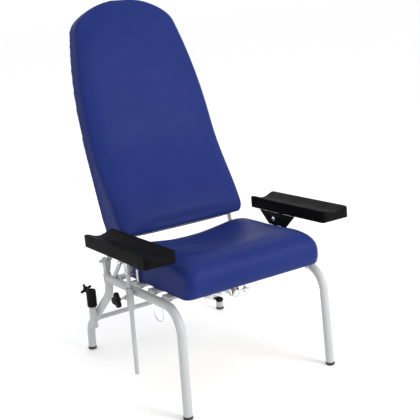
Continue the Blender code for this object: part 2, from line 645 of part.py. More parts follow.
def back_arm(side, sign):
    """Hinge plate of the backrest: crank eye below, pivot in the middle, carrier bar above."""
    crank = Vector((CRANK_Y, CRANK_Z))
    pivot = Vector((HINGE_Y, HINGE_Z))
    upper = back_point(0, CARRIER_ALONG, -(CARRIER_RADIUS + GAP))
    top = Vector((upper.y, upper.z))
    half = 0.011
    turn_low = math.degrees(math.atan2(crank.y - pivot.y, crank.x - pivot.x))
    turn_high = math.degrees(math.atan2(top.y - pivot.y, top.x - pivot.x))
    rear_low = pivot + half * Vector((math.cos(math.radians(turn_low + 90)), math.sin(math.radians(turn_low + 90))))
    front_low = 2 * pivot - rear_low
    points = arc(crank, half + 0.002, turn_low - 90, turn_low + 90, 10)
    points += [tuple(rear_low)]
    points += arc(top, half + 0.001, turn_high - 90, turn_high + 90, 10)
    points += [tuple(front_low)]
    plate = outline(f"back_arm_{side}", points, ARM_PLATE_THICKNESS, side_plane(sign * ARM_PLATE_X), "white_paint")
    holes = (("pivot", pivot, HINGE_BOLT_RADIUS + GAP), ("crank", crank, CRANK_BAR_RADIUS + GAP),
             ("carrier", top, CARRIER_RADIUS + GAP))
    for label, spot, radius in holes:
        hole = rod(f"back_arm_{label}_{side}", (sign * (ARM_PLATE_X - 0.01), spot.x, spot.y),
                   (sign * (ARM_PLATE_X + 0.01), spot.x, spot.y), radius, sides=20)
        boolean(plate, hole, "DIFFERENCE")


def back_carrier():
    """Bar behind the board, between the hinge plates, with two flat battens welded to it."""
    half = ARM_PLATE_X + ARM_PLATE_THICKNESS / 2 + BAR_OVERHANG
    upper = back_point(0, CARRIER_ALONG, -(CARRIER_RADIUS + GAP))
    bar = rod("back_carrier", (-half, upper.y, upper.z), (half, upper.y, upper.z), CARRIER_RADIUS, "white_paint")
    width, length, thickness = 0.028, 0.280, 0.005
    for side, sign in SIDES.items():
        points = [(-width / 2, CARRIER_ALONG), (width / 2, CARRIER_ALONG)]
        points += arc((0, length), width / 2, 0, 180, 8)
        shift = Matrix.Translation((sign * BATTEN_X, 0, 0))
        batten = outline(f"back_batten_{side}", points, thickness, shift @ back_plane(-thickness / 2 - GAP))
        boolean(bar, batten, "UNION")


def crank_bar():
    """Bar below the hinge, between the hinge plates, with the lug that the gas spring pushes."""
    half = ARM_PLATE_X + ARM_PLATE_THICKNESS / 2 + BAR_OVERHANG
    bar = rod("crank_bar", (-half, CRANK_Y, CRANK_Z), (half, CRANK_Y, CRANK_Z), CRANK_BAR_RADIUS, "white_paint")
    along = Vector((LUG_Y - CRANK_Y, LUG_Z - CRANK_Z))
    turn = math.degrees(math.atan2(along.y, along.x))
    points = arc((LUG_Y, LUG_Z), 0.0125, turn - 90, turn + 90, 12)
    points += arc((CRANK_Y, CRANK_Z), 0.0085, turn + 90, turn + 270, 6)
    lug = outline("crank_lug", points, 0.008, side_plane(SPRING_X))
    hole = rod("lug_hole", (SPRING_X - 0.02, LUG_Y, LUG_Z), (SPRING_X + 0.02, LUG_Y, LUG_Z), LUG_HOLE_RADIUS,
               sides=20)
    boolean(bar, lug, "UNION")
    boolean(bar, hole, "DIFFERENCE")


# ---------------------------------------------------------------- gas spring and its release
def spring_axis():
    """Front pin, rear pin and direction of the gas spring."""
    start = Vector((SPRING_X, SPRING_Y, SPRING_Z))
    end = Vector((SPRING_X, LUG_Y, LUG_Z - LUG_PIN_DROP))
    return start, end, (end - start).normalized()


def gas_spring():
    """Lockable gas spring: drum-shaped release head, cylinder, rod, and a fork around the crank's lug."""
    start, end, along = spring_axis()
    head_start = start - along * 0.013
    body_start = head_start + along * SPRING_HEAD_LENGTH
    head = rod("spring_head", head_start, body_start - along * GAP, SPRING_RADIUS, "zinc", sides=20)
    eye = rod("spring_eye_hole", start - Vector((0.03, 0, 0)), start + Vector((0.03, 0, 0)), 0.0040 + GAP, sides=16)
    boolean(head, eye, "DIFFERENCE")
    body = rod("spring_cylinder", body_start, body_start + along * SPRING_BODY_LENGTH, SPRING_RADIUS - 0.001, "zinc",
               sides=20)
    mouth = rod("cylinder_mouth", body_start + along * 0.02, body_start + along * (SPRING_BODY_LENGTH + 0.02),
                SPRING_ROD_RADIUS + 0.0006)
    boolean(body, mouth, "DIFFERENCE")
    fork_start = end - along * 0.034
    rod("spring_rod", body_start + along * 0.15, fork_start - along * GAP, SPRING_ROD_RADIUS, "zinc")
    # the fork's cheeks stand on both sides of the lug, with the pin between them
    fork = rod("spring_fork", fork_start, fork_start + along * 0.014, 0.010, "zinc", sides=12)
    for cheek in (-1, 1):
        offset = Vector((cheek * 0.0080, 0, 0))
        bar = rod(f"fork_cheek_{cheek}", fork_start + offset + along * 0.006, end + offset + along * 0.005,
                  0.0030, sides=12)
        boolean(fork, bar, "UNION")
    pin = rod("fork_pin", end - Vector((0.0110, 0, 0)), end + Vector((0.0110, 0, 0)), 0.0035)
    boolean(fork, pin, "UNION")


def spring_bracket():
    """Two ears below the front slat that hold the gas spring's head on a bolt with a wing nut."""
    pin, _, _ = spring_axis()
    slat_y = SLATS["front"][0]
    top = rail_z(slat_y) + TUBE_RADIUS - 0.0008
    ear_y = slat_y - 0.006
    plate = box("spring_bracket", (0.044, 0.026, 0.003), (SPRING_X, ear_y, top - 0.0015), "zinc", -SEAT_TILT)
    for cheek in (-1, 1):
        x = SPRING_X + cheek * 0.0170
        points = [(ear_y + 0.012, top - 0.001), (ear_y - 0.012, top - 0.001)]
        points += arc((pin.y, pin.z), 0.0090, 150, 310, 8)
        ear = outline(f"bracket_ear_{cheek}", points, 0.003, side_plane(x))
        boolean(plate, ear, "UNION")
    bolt = rod("bracket_bolt", pin - Vector((0.022, 0, 0)), pin + Vector((0.058, 0, 0)), 0.0040)
    boolean(plate, bolt, "UNION")
    nut_x = 0.042
    nut = rod("bracket_nut", pin + Vector((nut_x - 0.006, 0, 0)), pin + Vector((nut_x + 0.006, 0, 0)), 0.0075)
    boolean(plate, nut, "UNION")
    for wing in (-1, 1):
        root = pin + Vector((nut_x, 0, 0))
        tip = root + Vector((0.004, 0.008 * wing, 0.010 * wing))
        fin = rod(f"nut_wing_{wing}", root, tip, 0.0055, sides=8, end_radius=0.0035)
        boolean(plate, fin, "UNION")


def release_knob(grip):
    """Oval push knob on the front of the lever: wider than it is high."""
    profile = [(0.0080, 0.0), (0.0115, 0.004), (0.0130, 0.010), (0.0110, 0.016), (0.0060, 0.019)]
    knob = turned("release_knob", profile, grip, (0, -1, 0), "black_plastic")
    knob.scale.y = 0.66


def release_lever():
    """Flat lever below the seat's front edge, which turns on a pin and lifts at its knob."""
    pivot = Vector((LEVER_X, LEVER_Z))
    along = (LEVER_TIP - pivot).normalized()
    across = Vector((along.y, -along.x)) * 0.0110
    turn = math.degrees(math.atan2(along.y, along.x))
    points = arc(pivot, 0.0095, turn + 90, turn + 270, 10)
    points += [tuple(LEVER_TIP + across), tuple(LEVER_TIP - across), (LEVER_X + 0.020, LEVER_Z + 0.0065)]
    plate = outline("release_lever", points, 0.003, front_plane(LEVER_Y), "zinc")
    for label, z, radius in (("pin", LEVER_Z, LEVER_PIN_RADIUS + GAP), ("link", LINK_Z, LINK_RADIUS + 0.0006)):
        hole = rod(f"lever_{label}_hole", (LEVER_X, LEVER_Y - 0.01, z), (LEVER_X, LEVER_Y + 0.01, z), radius)
        boolean(plate, hole, "DIFFERENCE")
    release_knob(Vector((LEVER_TIP.x - 0.018, LEVER_Y - 0.0018, LEVER_TIP.y + 0.002)))


def lever_bracket():
    """Angle below the seat board with the pin that the lever turns on."""
    top = seat_base_z(-0.318)
    tab_y = LEVER_Y + 0.0125
    tab = box("lever_bracket", (0.024, 0.003, 0.027), (LEVER_X, tab_y, top - 0.0175), "zinc")
    shelf = box("bracket_shelf", (0.022, 0.022, 0.003), (LEVER_X, tab_y + 0.008, top - 0.0048), None, -SEAT_TILT)
    pin = rod("lever_pin", (LEVER_X, LEVER_Y - 0.004, LEVER_Z), (LEVER_X, tab_y, LEVER_Z), LEVER_PIN_RADIUS)
    boolean(tab, shelf, "UNION")
    boolean(tab, pin, "UNION")


def release_link():
    """Wire that the lever pulls: it is hooked into the lever above its pin and ends on the spring's head."""
    run_y = LEVER_Y + 0.0055
    corners = [(LEVER_X, LEVER_Y - 0.0035, LINK_Z), (LEVER_X, run_y, LINK_Z), (SPRING_X - 0.020, run_y, LINK_Z),
               (SPRING_X - 0.006, SPRING_Y - 0.008, SPRING_Z + SPRING_RADIUS + 0.0035)]
    points = rounded_path(corners, (0.0030, 0.0080), math.radians(20))
    tube("release_link", points, LINK_RADIUS, "zinc", 2)


# ---------------------------------------------------------------- arm rests
def arm_rod(side, sign):
    rod(f"arm_rod_{side}", (sign * ROD_X, ROD_Y, ROD_TIP_Z[side]), (sign * ROD_X, ROD_Y, ROD_TOP_Z),
        ROD_RADIUS, "white_paint")


def arm_head(side, sign):
    """Block on top of the rod: it turns on the rod and holds the tilt bolt in its round top."""
    base = ROD_TOP_Z + GAP
    points = [(ROD_Y - 0.011, base), (ROD_Y + 0.011, base)]
    points += arc((ROD_Y, ARM_PIVOT_Z), 0.0150, -20, 200, 14)
    middle = sign * (HEAD_INNER_X + HEAD_OUTER_X) / 2
    head = outline(f"arm_head_{side}", points, HEAD_OUTER_X - HEAD_INNER_X, side_plane(middle), "zinc")
    for label, z, radius in (("tilt", ARM_PIVOT_Z, 0.0043), ("eye", 0.432, 0.0035)):
        hole = rod(f"head_{label}_hole_{side}", (sign * 0.27, ROD_Y, z), (sign * 0.35, ROD_Y, z), radius, sides=16)
        boolean(head, hole, "DIFFERENCE")


def arm_pivot_bolt(side, sign):
    """Tilt bolt: domed head inside the plate, shank through plate and head block, nut outside."""
    plate_face = PAD_X - PAD_WIDTH / 2 - GAP
    bolt = rod(f"arm_pivot_bolt_{side}", (sign * (plate_face - 0.001), ROD_Y, ARM_PIVOT_Z),
               (sign * (HEAD_OUTER_X + 0.010), ROD_Y, ARM_PIVOT_Z), 0.0040, "zinc")
    dome = rod(f"bolt_dome_{side}", (sign * (plate_face - 0.006), ROD_Y, ARM_PIVOT_Z),
               (sign * plate_face, ROD_Y, ARM_PIVOT_Z), 0.0050, sides=20, end_radius=0.0085)
    nut = rod(f"bolt_nut_{side}", (sign * (HEAD_OUTER_X + GAP), ROD_Y, ARM_PIVOT_Z),
              (sign * (HEAD_OUTER_X + 0.007), ROD_Y, ARM_PIVOT_Z), 0.0075, sides=6)
    boolean(bolt, dome, "UNION")
    boolean(bolt, nut, "UNION")


def arm_frame(side, sign):
    """Matrix of a gutter: it turns about the tilt bolt by the seat's tilt."""
    pivot = Vector((sign * PAD_X, ROD_Y, ARM_PIVOT_Z))
    return Matrix.Translation(pivot) @ Matrix.Rotation(-SEAT_TILT, 4, "X")


def arm_pad(side, sign):
    """Gutter for the forearm: hollow top between two ridges, round front end."""
    rear = PAD_REAR_Y - ROD_Y
    front = rear - PAD_LENGTH
    top = PAD_TOP_Z - ARM_PIVOT_Z
    matrix = arm_frame(side, sign)

    def place(u, v, w):
        level = (w + 1) / 2
        y = front + (v + 1) / 2 * PAD_LENGTH
        nose = max(0.0, (front + 0.025 - y) / 0.025)
        lift = 0.005 * nose ** 2 * (1 - level) ** 2
        drop = 0.008 * nose ** 2 * level ** 2
        hollow = PAD_HOLLOW * (1 - u * u) ** 1.2 * level
        side_in = 0.002 * level * abs(u) ** 6
        z = top - PAD_THICKNESS + level * PAD_THICKNESS - hollow - drop + lift
        x = u * PAD_WIDTH / 2 - math.copysign(side_in, u)
        return matrix @ Vector((x, y, z))

    rounded_block(f"arm_pad_{side}", "black_foam", place, cuts=6)


def arm_plate(side, sign):
    """Trapezoid plate under the inner edge of the gutter, pierced by the tilt bolt."""
    top = PAD_TOP_Z - ARM_PIVOT_Z - PAD_THICKNESS - GAP
    points = [(-0.071, -0.024), (0.029, -0.024), (0.081, top), (-0.124, top)]
    x = sign * (PAD_X - PAD_WIDTH / 2 + 0.0020)
    swing = Matrix.Translation((x, ROD_Y, ARM_PIVOT_Z)) @ Matrix.Rotation(-SEAT_TILT, 4, "X")
    local = Matrix(((0, 0, 1, 0), (1, 0, 0, 0), (0, 1, 0, 0), (0, 0, 0, 1)))
    plate = outline(f"arm_plate_{side}", points, 0.004, swing @ local, "black_plastic")
    hole = rod(f"arm_plate_hole_{side}", (x - 0.01, ROD_Y, ARM_PIVOT_Z), (x + 0.01, ROD_Y, ARM_PIVOT_Z),
               0.0043, sides=16)
    boolean(plate, hole, "DIFFERENCE")


# ---------------------------------------------------------------- assembly
def pivots():
    """Empties on the joints' axes: name, place, parent, and the pieces that turn or slide there."""
    start, end, _ = spring_axis()
    table = [
        ("back_axis", (0, HINGE_Y, HINGE_Z), "chair",
         ("back_cushion", "back_board", "back_carrier", "crank_bar", "back_arm_left", "back_arm_right")),
        ("spring_axis", start, "chair", ("spring_head", "spring_cylinder")),
        ("spring_slide", end, "spring_axis", ("spring_rod", "spring_fork")),
        ("lever_axis", (LEVER_X, LEVER_Y, LEVER_Z), "chair", ("release_lever", "release_knob")),
        ("link_slide", (LEVER_X, LEVER_Y, LEVER_Z), "chair", ("release_link",)),
        ("socket_knob_axis", (SOCKET_X, SOCKET_Y, SOCKET_KNOB_Z), "chair", ("drip_socket_knob",)),
    ]
    for side, sign in SIDES.items():
        table += [
            (f"clamp_axis_{side}", (sign * ROD_X, ROD_Y, CLAMP_Z), "chair", (f"arm_clamp_knob_{side}",)),
            (f"rod_slide_{side}", (sign * ROD_X, ROD_Y, ROD_TOP_Z), "chair", (f"arm_rod_{side}",)),
            (f"swivel_axis_{side}", (sign * ROD_X, ROD_Y, ROD_TOP_Z), f"rod_slide_{side}",
             (f"arm_head_{side}", f"arm_pivot_bolt_{side}")),
            (f"tilt_axis_{side}", (sign * ROD_X, ROD_Y, ARM_PIVOT_Z), f"swivel_axis_{side}",
             (f"arm_pad_{side}", f"arm_plate_{side}")),
        ]
    return table


def attach(child, parent):
    """Make child follow parent without moving it."""
    place = child.matrix_world.copy()
    child.parent = parent
    child.matrix_parent_inverse = parent.matrix_world.inverted()
    child.matrix_world = place


def assemble():
    """Hang the pieces on empties, then put the origin under the middle of the chair."""
    bpy.context.view_layer.update()
    empties = {"chair": add_object("chair", None)}
    for name, place, parent, members in pivots():
        empty = add_object(name, None)
        empty.location = place
        bpy.context.view_layer.update()
        attach(empty, empties[parent])
        empties[name] = empty
        for member in members:
            attach(bpy.data.objects[member], empty)
    for piece in list(PARTS.objects) + list(CUTTERS.objects):
        if piece.parent is None and piece is not empties["chair"]:
            attach(piece, empties["chair"])
    bpy.context.view_layer.update()
    depths = [(piece.matrix_world @ Vector(corner)).y for piece in PARTS.objects if piece.type != "EMPTY"
              for corner in piece.bound_box]
    empties["chair"].location.y = -(min(depths) + max(depths)) / 2


def build():
    for side, sign in SIDES.items():
        for make in (rear_leg, front_leg, foot_caps, hinge_upright, hinge_bolt, seat_stay, seat_clip, arm_sleeve,
                     clamp_knob, back_arm, arm_rod, arm_head, arm_pivot_bolt, arm_pad, arm_plate):
            make(side, sign)
    rear_crossbar()
    seat_slats()
    bag_hook()
    rail_stud()
    drip_stand_socket()
    socket_knob()
    seat_cushion()
    back_cushion()
    back_carrier()
    crank_bar()
    gas_spring()
    spring_bracket()
    release_lever()
    lever_bracket()
    release_link()
    assemble()


build()
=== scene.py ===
"""Looks of the patient chair: upholstery, gutters, paint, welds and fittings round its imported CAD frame.

Everything is in metres in the frame's own axes: +Z up, the sitter faces -Y, "left" is the -X side.
"""
import json
import math

import bmesh
import bpy
import numpy as np
from mathutils import Matrix, Vector, noise
from mathutils.bvhtree import BVHTree

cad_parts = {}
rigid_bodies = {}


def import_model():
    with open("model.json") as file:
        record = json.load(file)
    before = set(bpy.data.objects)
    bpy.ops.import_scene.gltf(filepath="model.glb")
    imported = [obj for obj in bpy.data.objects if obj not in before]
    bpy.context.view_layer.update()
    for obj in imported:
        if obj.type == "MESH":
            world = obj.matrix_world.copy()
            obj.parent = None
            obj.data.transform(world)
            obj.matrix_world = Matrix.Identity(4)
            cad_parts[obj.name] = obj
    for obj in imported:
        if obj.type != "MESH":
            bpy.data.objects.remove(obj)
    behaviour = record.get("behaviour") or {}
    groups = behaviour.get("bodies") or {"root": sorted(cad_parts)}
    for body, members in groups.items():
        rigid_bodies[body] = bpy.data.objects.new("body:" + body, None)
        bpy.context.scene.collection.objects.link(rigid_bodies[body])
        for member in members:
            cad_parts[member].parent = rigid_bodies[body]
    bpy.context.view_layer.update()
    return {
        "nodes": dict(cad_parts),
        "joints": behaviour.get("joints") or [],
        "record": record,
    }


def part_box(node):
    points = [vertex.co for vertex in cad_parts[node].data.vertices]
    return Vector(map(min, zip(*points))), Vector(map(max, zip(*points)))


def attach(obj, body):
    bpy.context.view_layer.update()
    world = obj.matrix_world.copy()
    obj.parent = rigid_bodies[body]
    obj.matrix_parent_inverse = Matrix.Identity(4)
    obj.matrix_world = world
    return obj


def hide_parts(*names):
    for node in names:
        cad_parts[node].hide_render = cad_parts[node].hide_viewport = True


for item in list(bpy.data.objects):
    bpy.data.objects.remove(item, do_unlink=True)

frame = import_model()
JOINTS = {joint["name"]: joint for joint in frame["joints"]}
SIDES = {"left": -1.0, "right": 1.0}

# ---------------------------------------------------------------- dimensions
# The frame's and the arms' are those of the CAD source; the covers have their own, close to its cushions'.
HINGE = Vector(JOINTS["back_recline"]["pos_m"])
HINGE_Y, HINGE_Z = 0.185, 0.398        # the same hinge, measured from the CAD source's own origin
DEPTH_SHIFT = HINGE.y - HINGE_Y        # the frame's origin lies behind the CAD source's own origin
TUBE_RADIUS = 0.015
RAIL_X, RAIL_Z, FRAME_SPLAY = 0.289, 0.345, 0.028
SEAT_TILT = math.radians(2.7)
RAIL_REF_Y, RAIL_REF_Z = -0.233, 0.354
FRONT_BEND_Y, FRONT_BEND_RADIUS = -0.330, 0.085
FRONT_FOOT_Y, FRONT_RAKE = -0.348, 0.051
REAR_FOOT_Y, REAR_BEND_Z, REAR_BEND_RADIUS = 0.352, 0.0957, 0.070
KNEE_Y, KNEE_Z, KNEE_RADIUS = 0.1575, 0.2833, 0.065
UPRIGHT_LEAN, REAR_LEG_TOP_Z = math.radians(13.5), 0.353
LEG_END_Z = 0.0104
RAIL_JOINT_Y, RAIL_END_Y = 0.1517, 0.164      # where a rail meets the rear leg, and where its tube ends
SLATS = {                                     # each slat's middle y and its width
    "rear": (0.085, 0.035),
    "middle": (-0.035, 0.070),
    "inner": (-0.1425, 0.045),
    "front": (-0.235, 0.045),
}
SLAT_HEIGHT, SLAT_HALF_LENGTH = 0.010, 0.2845

SEAT_FRONT_Y, SEAT_REAR_Y, SEAT_HALF_WIDTH = -0.362, 0.118, 0.269
SEAT_SIDE_HEIGHT, SEAT_DISH = 0.112, 0.027
SEAT_FRONT_CORNER, SEAT_REAR_CORNER = 0.036, 0.055
SEAT_EDGE, SEAT_ROLL = 0.030, 0.036           # the top edge's rounding, and what the front roll adds to it
SEAT_TUCK = 0.022                             # how far the front face draws in towards the bottom

BACK_Y, BACK_Z = 0.189, 0.447
BACK_LEAN = math.radians(20.4)
BACK_LENGTH, BACK_TOP_ROUNDING = 0.887, 0.105
BACK_STATIONS = (                             # distance up the back, and half the width there
    (0.0, 0.262), (0.08, 0.265), (0.18, 0.265), (0.40, 0.266), (0.60, 0.252), (0.80, 0.211), (1.0, 0.150),
)
BACK_FAIRING = np.linspace(-0.10, 0.10, 9)    # the outline is the mean of the stations' over this stretch
BACK_THICK_LOW, BACK_THICK_HIGH, BACK_LUMBAR_END = 0.128, 0.066, 0.37
BACK_EDGE, BACK_FOOT_ROUNDING = 0.020, 0.042
BACK_FOOT_UNDERCUT, BACK_FOOT_REACH = 0.014, 0.07
CARRIER_ALONG, CARRIER_RADIUS = 0.036, 0.0090
BATTEN_X, BATTEN_HALF_WIDTH = 0.150, 0.0145
CRANK_Y, CRANK_Z, CRANK_BAR_RADIUS = 0.219, 0.304, 0.0100

ROD_X, ROD_Y, ROD_RADIUS = 0.320, -0.058, 0.0075
ROD_TOP_Z, ARM_PIVOT_Z, CLAMP_Z = 0.415, 0.4815, 0.338
PAD_X, PAD_REAR_Y, PAD_LENGTH = 0.348, 0.0755, 0.4235
PAD_WIDTH, PAD_THICKNESS, PAD_HOLLOW, PAD_TOP_Z = 0.111, 0.043, 0.013, 0.5485

# ---------------------------------------------------------------- settings of the looks
COVER_VOXEL = 0.006                           # grid that a cover is remeshed on
COVER_SHRINK = 0.004                          # a cover starts this much smaller, and swells
SWELL_LIMIT, SWELL_SMOOTHING = 0.012, 14      # the most that it swells, and rounds of evening out
CLOTH_PRESSURE, CLOTH_FRAMES = 4.0, 20
SEAM_DEPTH, SEAM_WIDTH = 0.0013, 0.0036
STITCH_PITCH, STITCH_RADIUS, STITCH_OFFSET = 0.0055, 0.0006, 0.0050
WELD_GAP = 0.0006                             # how far the middle of a bead stands off the metal
MERGE = 0.00001                               # points this close are one

CAD_FINISH = {                                # rounding of a CAD node's edges, by its material
    "white_paint": 0.0012,
    "zinc": 0.0005,
    "black_plastic": 0.0008,
    "chrome": 0.0004,
    "grey_rubber": 0.0006,
    "plywood": 0.0010,
    "blue_vinyl": 0.0010,
    "black_foam": 0.0010,
}

CAMERA_AZIMUTH, CAMERA_ELEVATION, CAMERA_ROLL = -32.495, 15.223, -3.744
CAMERA_TARGET, CAMERA_DISTANCE = Vector((0.340, 0.378734, 0.407)), 3.5
CAMERA_LENS, CAMERA_SENSOR = 70.76, 36.0
WORLD_STRENGTH, FLOOR_ALBEDO = 1.02, 0.97
LIGHTS = (                                    # name, place, aim, size and power
    ("key", (1.6, -3.4, 2.1), (0.0, 0.0, 0.7), 1.8, 95.0),
    ("top", (0.2, 0.2, 4.6), (0.0, 0.0, 0.0), 3.5, 22.0),
    ("back", (1.2, 3.2, 2.2), (0.0, 0.0, 0.7), 2.0, 12.0),
)


def at(x, y, z):
    """A place of the CAD source, in the frame."""
    return Vector((x, y + DEPTH_SHIFT, z))


def frame_x(z):
    """Half the distance between the leg tubes' middles at this height: the legs splay outwards."""
    return RAIL_X + FRAME_SPLAY * (RAIL_Z - z)


def rail_z(y):
    """Height of the seat rails' middle line."""
    return RAIL_REF_Z - (y - RAIL_REF_Y) * math.tan(SEAT_TILT)


def upright_y(z):
    """Depth of the rear leg's leaning top, in line with the back's hinge."""
    return HINGE_Y + (z - HINGE_Z) * math.tan(UPRIGHT_LEAN)


def seat_base_z(y):
    """Height of the seat cushion's underside, on top of the slats."""
    return rail_z(y) + TUBE_RADIUS + SLAT_HEIGHT + 0.0006


def back_point(x, along, out):
    """A point of the backrest: along its board from the bottom, and out from the board's rear plane."""
    sin, cos = math.sin(BACK_LEAN), math.cos(BACK_LEAN)
    return at(x, BACK_Y + along * sin - out * cos, BACK_Z + along * cos + out * sin)


# ---------------------------------------------------------------- materials
def new_material(name, colour, roughness, metallic=0.0, **sockets):
    """A material whose shader has these values; sockets are more of its inputs, with _ for a space."""
    mat = bpy.data.materials.new(name)
    mat.use_nodes = True
    shader = mat.node_tree.nodes["Principled BSDF"]
    shader.inputs["Base Color"].default_value = (*colour, 1.0)
    shader.inputs["Roughness"].default_value = roughness
    shader.inputs["Metallic"].default_value = metallic
    for key, value in sockets.items():
        shader.inputs[key.replace("_", " ")].default_value = value
    return mat


def add_node(mat, kind, properties=None, **inputs):
    """A shader node of this kind, with its properties and its inputs' values set."""
    item = mat.node_tree.nodes.new(kind)
    for key, value in (properties or {}).items():
        setattr(item, key, value)
    for key, value in inputs.items():
        item.inputs[key.replace("_", " ")].default_value = value
    return item


def connect(mat, source, target):
    mat.node_tree.links.new(source, target)


def shader_of(mat):
    return mat.node_tree.nodes["Principled BSDF"]


def object_coordinates(mat, stretch=(1.0, 1.0, 1.0)):
    """The piece's own coordinates in metres, stretched along its axes."""
    coords = add_node(mat, "ShaderNodeTexCoord")
    mapping = add_node(mat, "ShaderNodeMapping")
    mapping.inputs["Scale"].default_value = stretch
    connect(mat, coords.outputs["Object"], mapping.inputs["Vector"])
    return mapping.outputs["Vector"]


def noise_field(mat, where, scale, detail=3.0, roughness=0.55):
    field = add_node(mat, "ShaderNodeTexNoise", Scale=scale, Detail=detail, Roughness=roughness)
    connect(mat, where, field.inputs["Vector"])
    return field.outputs["Fac"]


def cell_field(mat, where, scale):
    """Distance to the nearest edge between Voronoi cells: the creases of a grain."""
    field = add_node(mat, "ShaderNodeTexVoronoi", {"feature": "DISTANCE_TO_EDGE"}, Scale=scale)
    connect(mat, where, field.inputs["Vector"])
    return field.outputs["Distance"]


def spread(mat, value, low, high, start=0.3, end=0.7):
    """Map a field's start..end onto low..high."""
    ramp = add_node(mat, "ShaderNodeMapRange")
    for key, number in (("From Min", start), ("From Max", end), ("To Min", low), ("To Max", high)):
        ramp.inputs[key].default_value = number
    connect(mat, value, ramp.inputs["Value"])
    return ramp.outputs["Result"]


def blend_colours(mat, share, first, second):
    """Mix two colours by a field; each is a tuple or another node's output."""
    mix = add_node(mat, "ShaderNodeMix", {"data_type": "RGBA"})
    connect(mat, share, mix.inputs["Factor"])
    for socket, colour in ((mix.inputs["A"], first), (mix.inputs["B"], second)):
        if isinstance(colour, tuple):
            socket.default_value = (*colour, 1.0)
        else:
            connect(mat, colour, socket)
    return mix.outputs["Result"]


def bumps(mat, *layers):
    """Stack bump layers, each a (height, strength, distance in metres)."""
    normal = None
    for height, strength, distance in layers:
        bump = add_node(mat, "ShaderNodeBump", Strength=strength, Distance=distance)
        connect(mat, height, bump.inputs["Height"])
        if normal:
            connect(mat, normal, bump.inputs["Normal"])
        normal = bump.outputs["Normal"]
    connect(mat, normal, shader_of(mat).inputs["Normal"])


def clouded(mat, cloud, dark, light):
    """A tone that drifts between two colours with a field."""
    return blend_colours(mat, spread(mat, cloud, 0.0, 1.0), dark, light)


def set_colour(mat, colour):
    connect(mat, colour, shader_of(mat).inputs["Base Color"])


def set_roughness(mat, value):
    connect(mat, value, shader_of(mat).inputs["Roughness"])


def blue_vinyl():
    """Coated upholstery fabric: fine leather grain, faint clouding, and a sheen that is not quite even."""
    mat = new_material("blue_vinyl", (0.010, 0.021, 0.130), 0.42, Specular_IOR_Level=0.09)
    dark, light, crease = (0.0085, 0.0195, 0.1230), (0.0110, 0.0230, 0.1370), (0.0075, 0.0165, 0.1040)
    where = object_coordinates(mat)
    cells, fine = cell_field(mat, where, 620), noise_field(mat, where, 1500, 2.0)
    cloud, soft = noise_field(mat, where, 5.0), noise_field(mat, where, 24.0, 2.0)
    tone = clouded(mat, cloud, dark, light)
    set_colour(mat, blend_colours(mat, spread(mat, cells, 0.75, 0.0, 0.0, 0.10), tone, crease))
    set_roughness(mat, spread(mat, soft, 0.46, 0.52))
    grain = spread(mat, cells, 0.0, 1.0, 0.0, 0.14)
    bumps(mat, (soft, 0.10, 0.0006), (grain, 0.28, 0.00018), (fine, 0.12, 0.00008))
    return mat


def white_paint():
    """Powder coat: faint orange peel, a little greyer where hands and shoes have rubbed it."""
    mat = new_material("white_paint", (0.42, 0.426, 0.432), 0.32, Specular_IOR_Level=0.4)
    dark, light, worn = (0.405, 0.412, 0.420), (0.435, 0.44, 0.444), (0.35, 0.35, 0.355)
    where = object_coordinates(mat)
    peel, cloud = noise_field(mat, where, 520, 2.0), noise_field(mat, where, 9.0)
    rubbed = noise_field(mat, object_coordinates(mat, (60, 60, 260)), 1.0, 4.0)
    scuff = spread(mat, rubbed, 0.0, 1.0, 0.66, 0.78)
    set_colour(mat, blend_colours(mat, scuff, clouded(mat, cloud, dark, light), worn))
    set_roughness(mat, spread(mat, cloud, 0.27, 0.40))
    bumps(mat, (peel, 0.10, 0.00015))
    return mat


def black_foam():
    """Integral-skin foam: pebbled skin, satin, with greyer rubbed patches."""
    mat = new_material("black_foam", (0.004, 0.004, 0.004), 0.55, Specular_IOR_Level=0.05)
    dark, light = (0.0022, 0.0022, 0.0022), (0.0040, 0.0040, 0.0040)
    where = object_coordinates(mat)
    cells, cloud = cell_field(mat, where, 760), noise_field(mat, where, 18.0)
    set_colour(mat, clouded(mat, cloud, dark, light))
    set_roughness(mat, spread(mat, cloud, 0.50, 0.68))
    bumps(mat, (cloud, 0.15, 0.0008), (spread(mat, cells, 0.0, 1.0, 0.0, 0.16), 0.35, 0.0002))
    return mat


def moulded(name, dark, light, rough):
    """Moulded plastic or rubber with a spark-eroded texture."""
    mat = new_material(name, dark, rough, Specular_IOR_Level=0.08)
    where = object_coordinates(mat)
    grit, cloud = noise_field(mat, where, 1800, 2.0), noise_field(mat, where, 40.0)
    set_colour(mat, clouded(mat, cloud, dark, light))
    set_roughness(mat, spread(mat, cloud, rough - 0.05, rough + 0.08))
    bumps(mat, (grit, 0.25, 0.00012))
    return mat


def plated(name, dull, bright, low, high, stretch):
    """Plated steel: slightly uneven colour, with fine drawing lines; low and high are its roughness."""
    mat = new_material(name, bright, low, 1.0)
    where = object_coordinates(mat, stretch)
    lines, cloud = noise_field(mat, where, 300, 3.0), noise_field(mat, object_coordinates(mat), 70.0)
    set_colour(mat, clouded(mat, cloud, dull, bright))
    set_roughness(mat, spread(mat, cloud, low, high))
    bumps(mat, (lines, 0.08, 0.00006))
    return mat


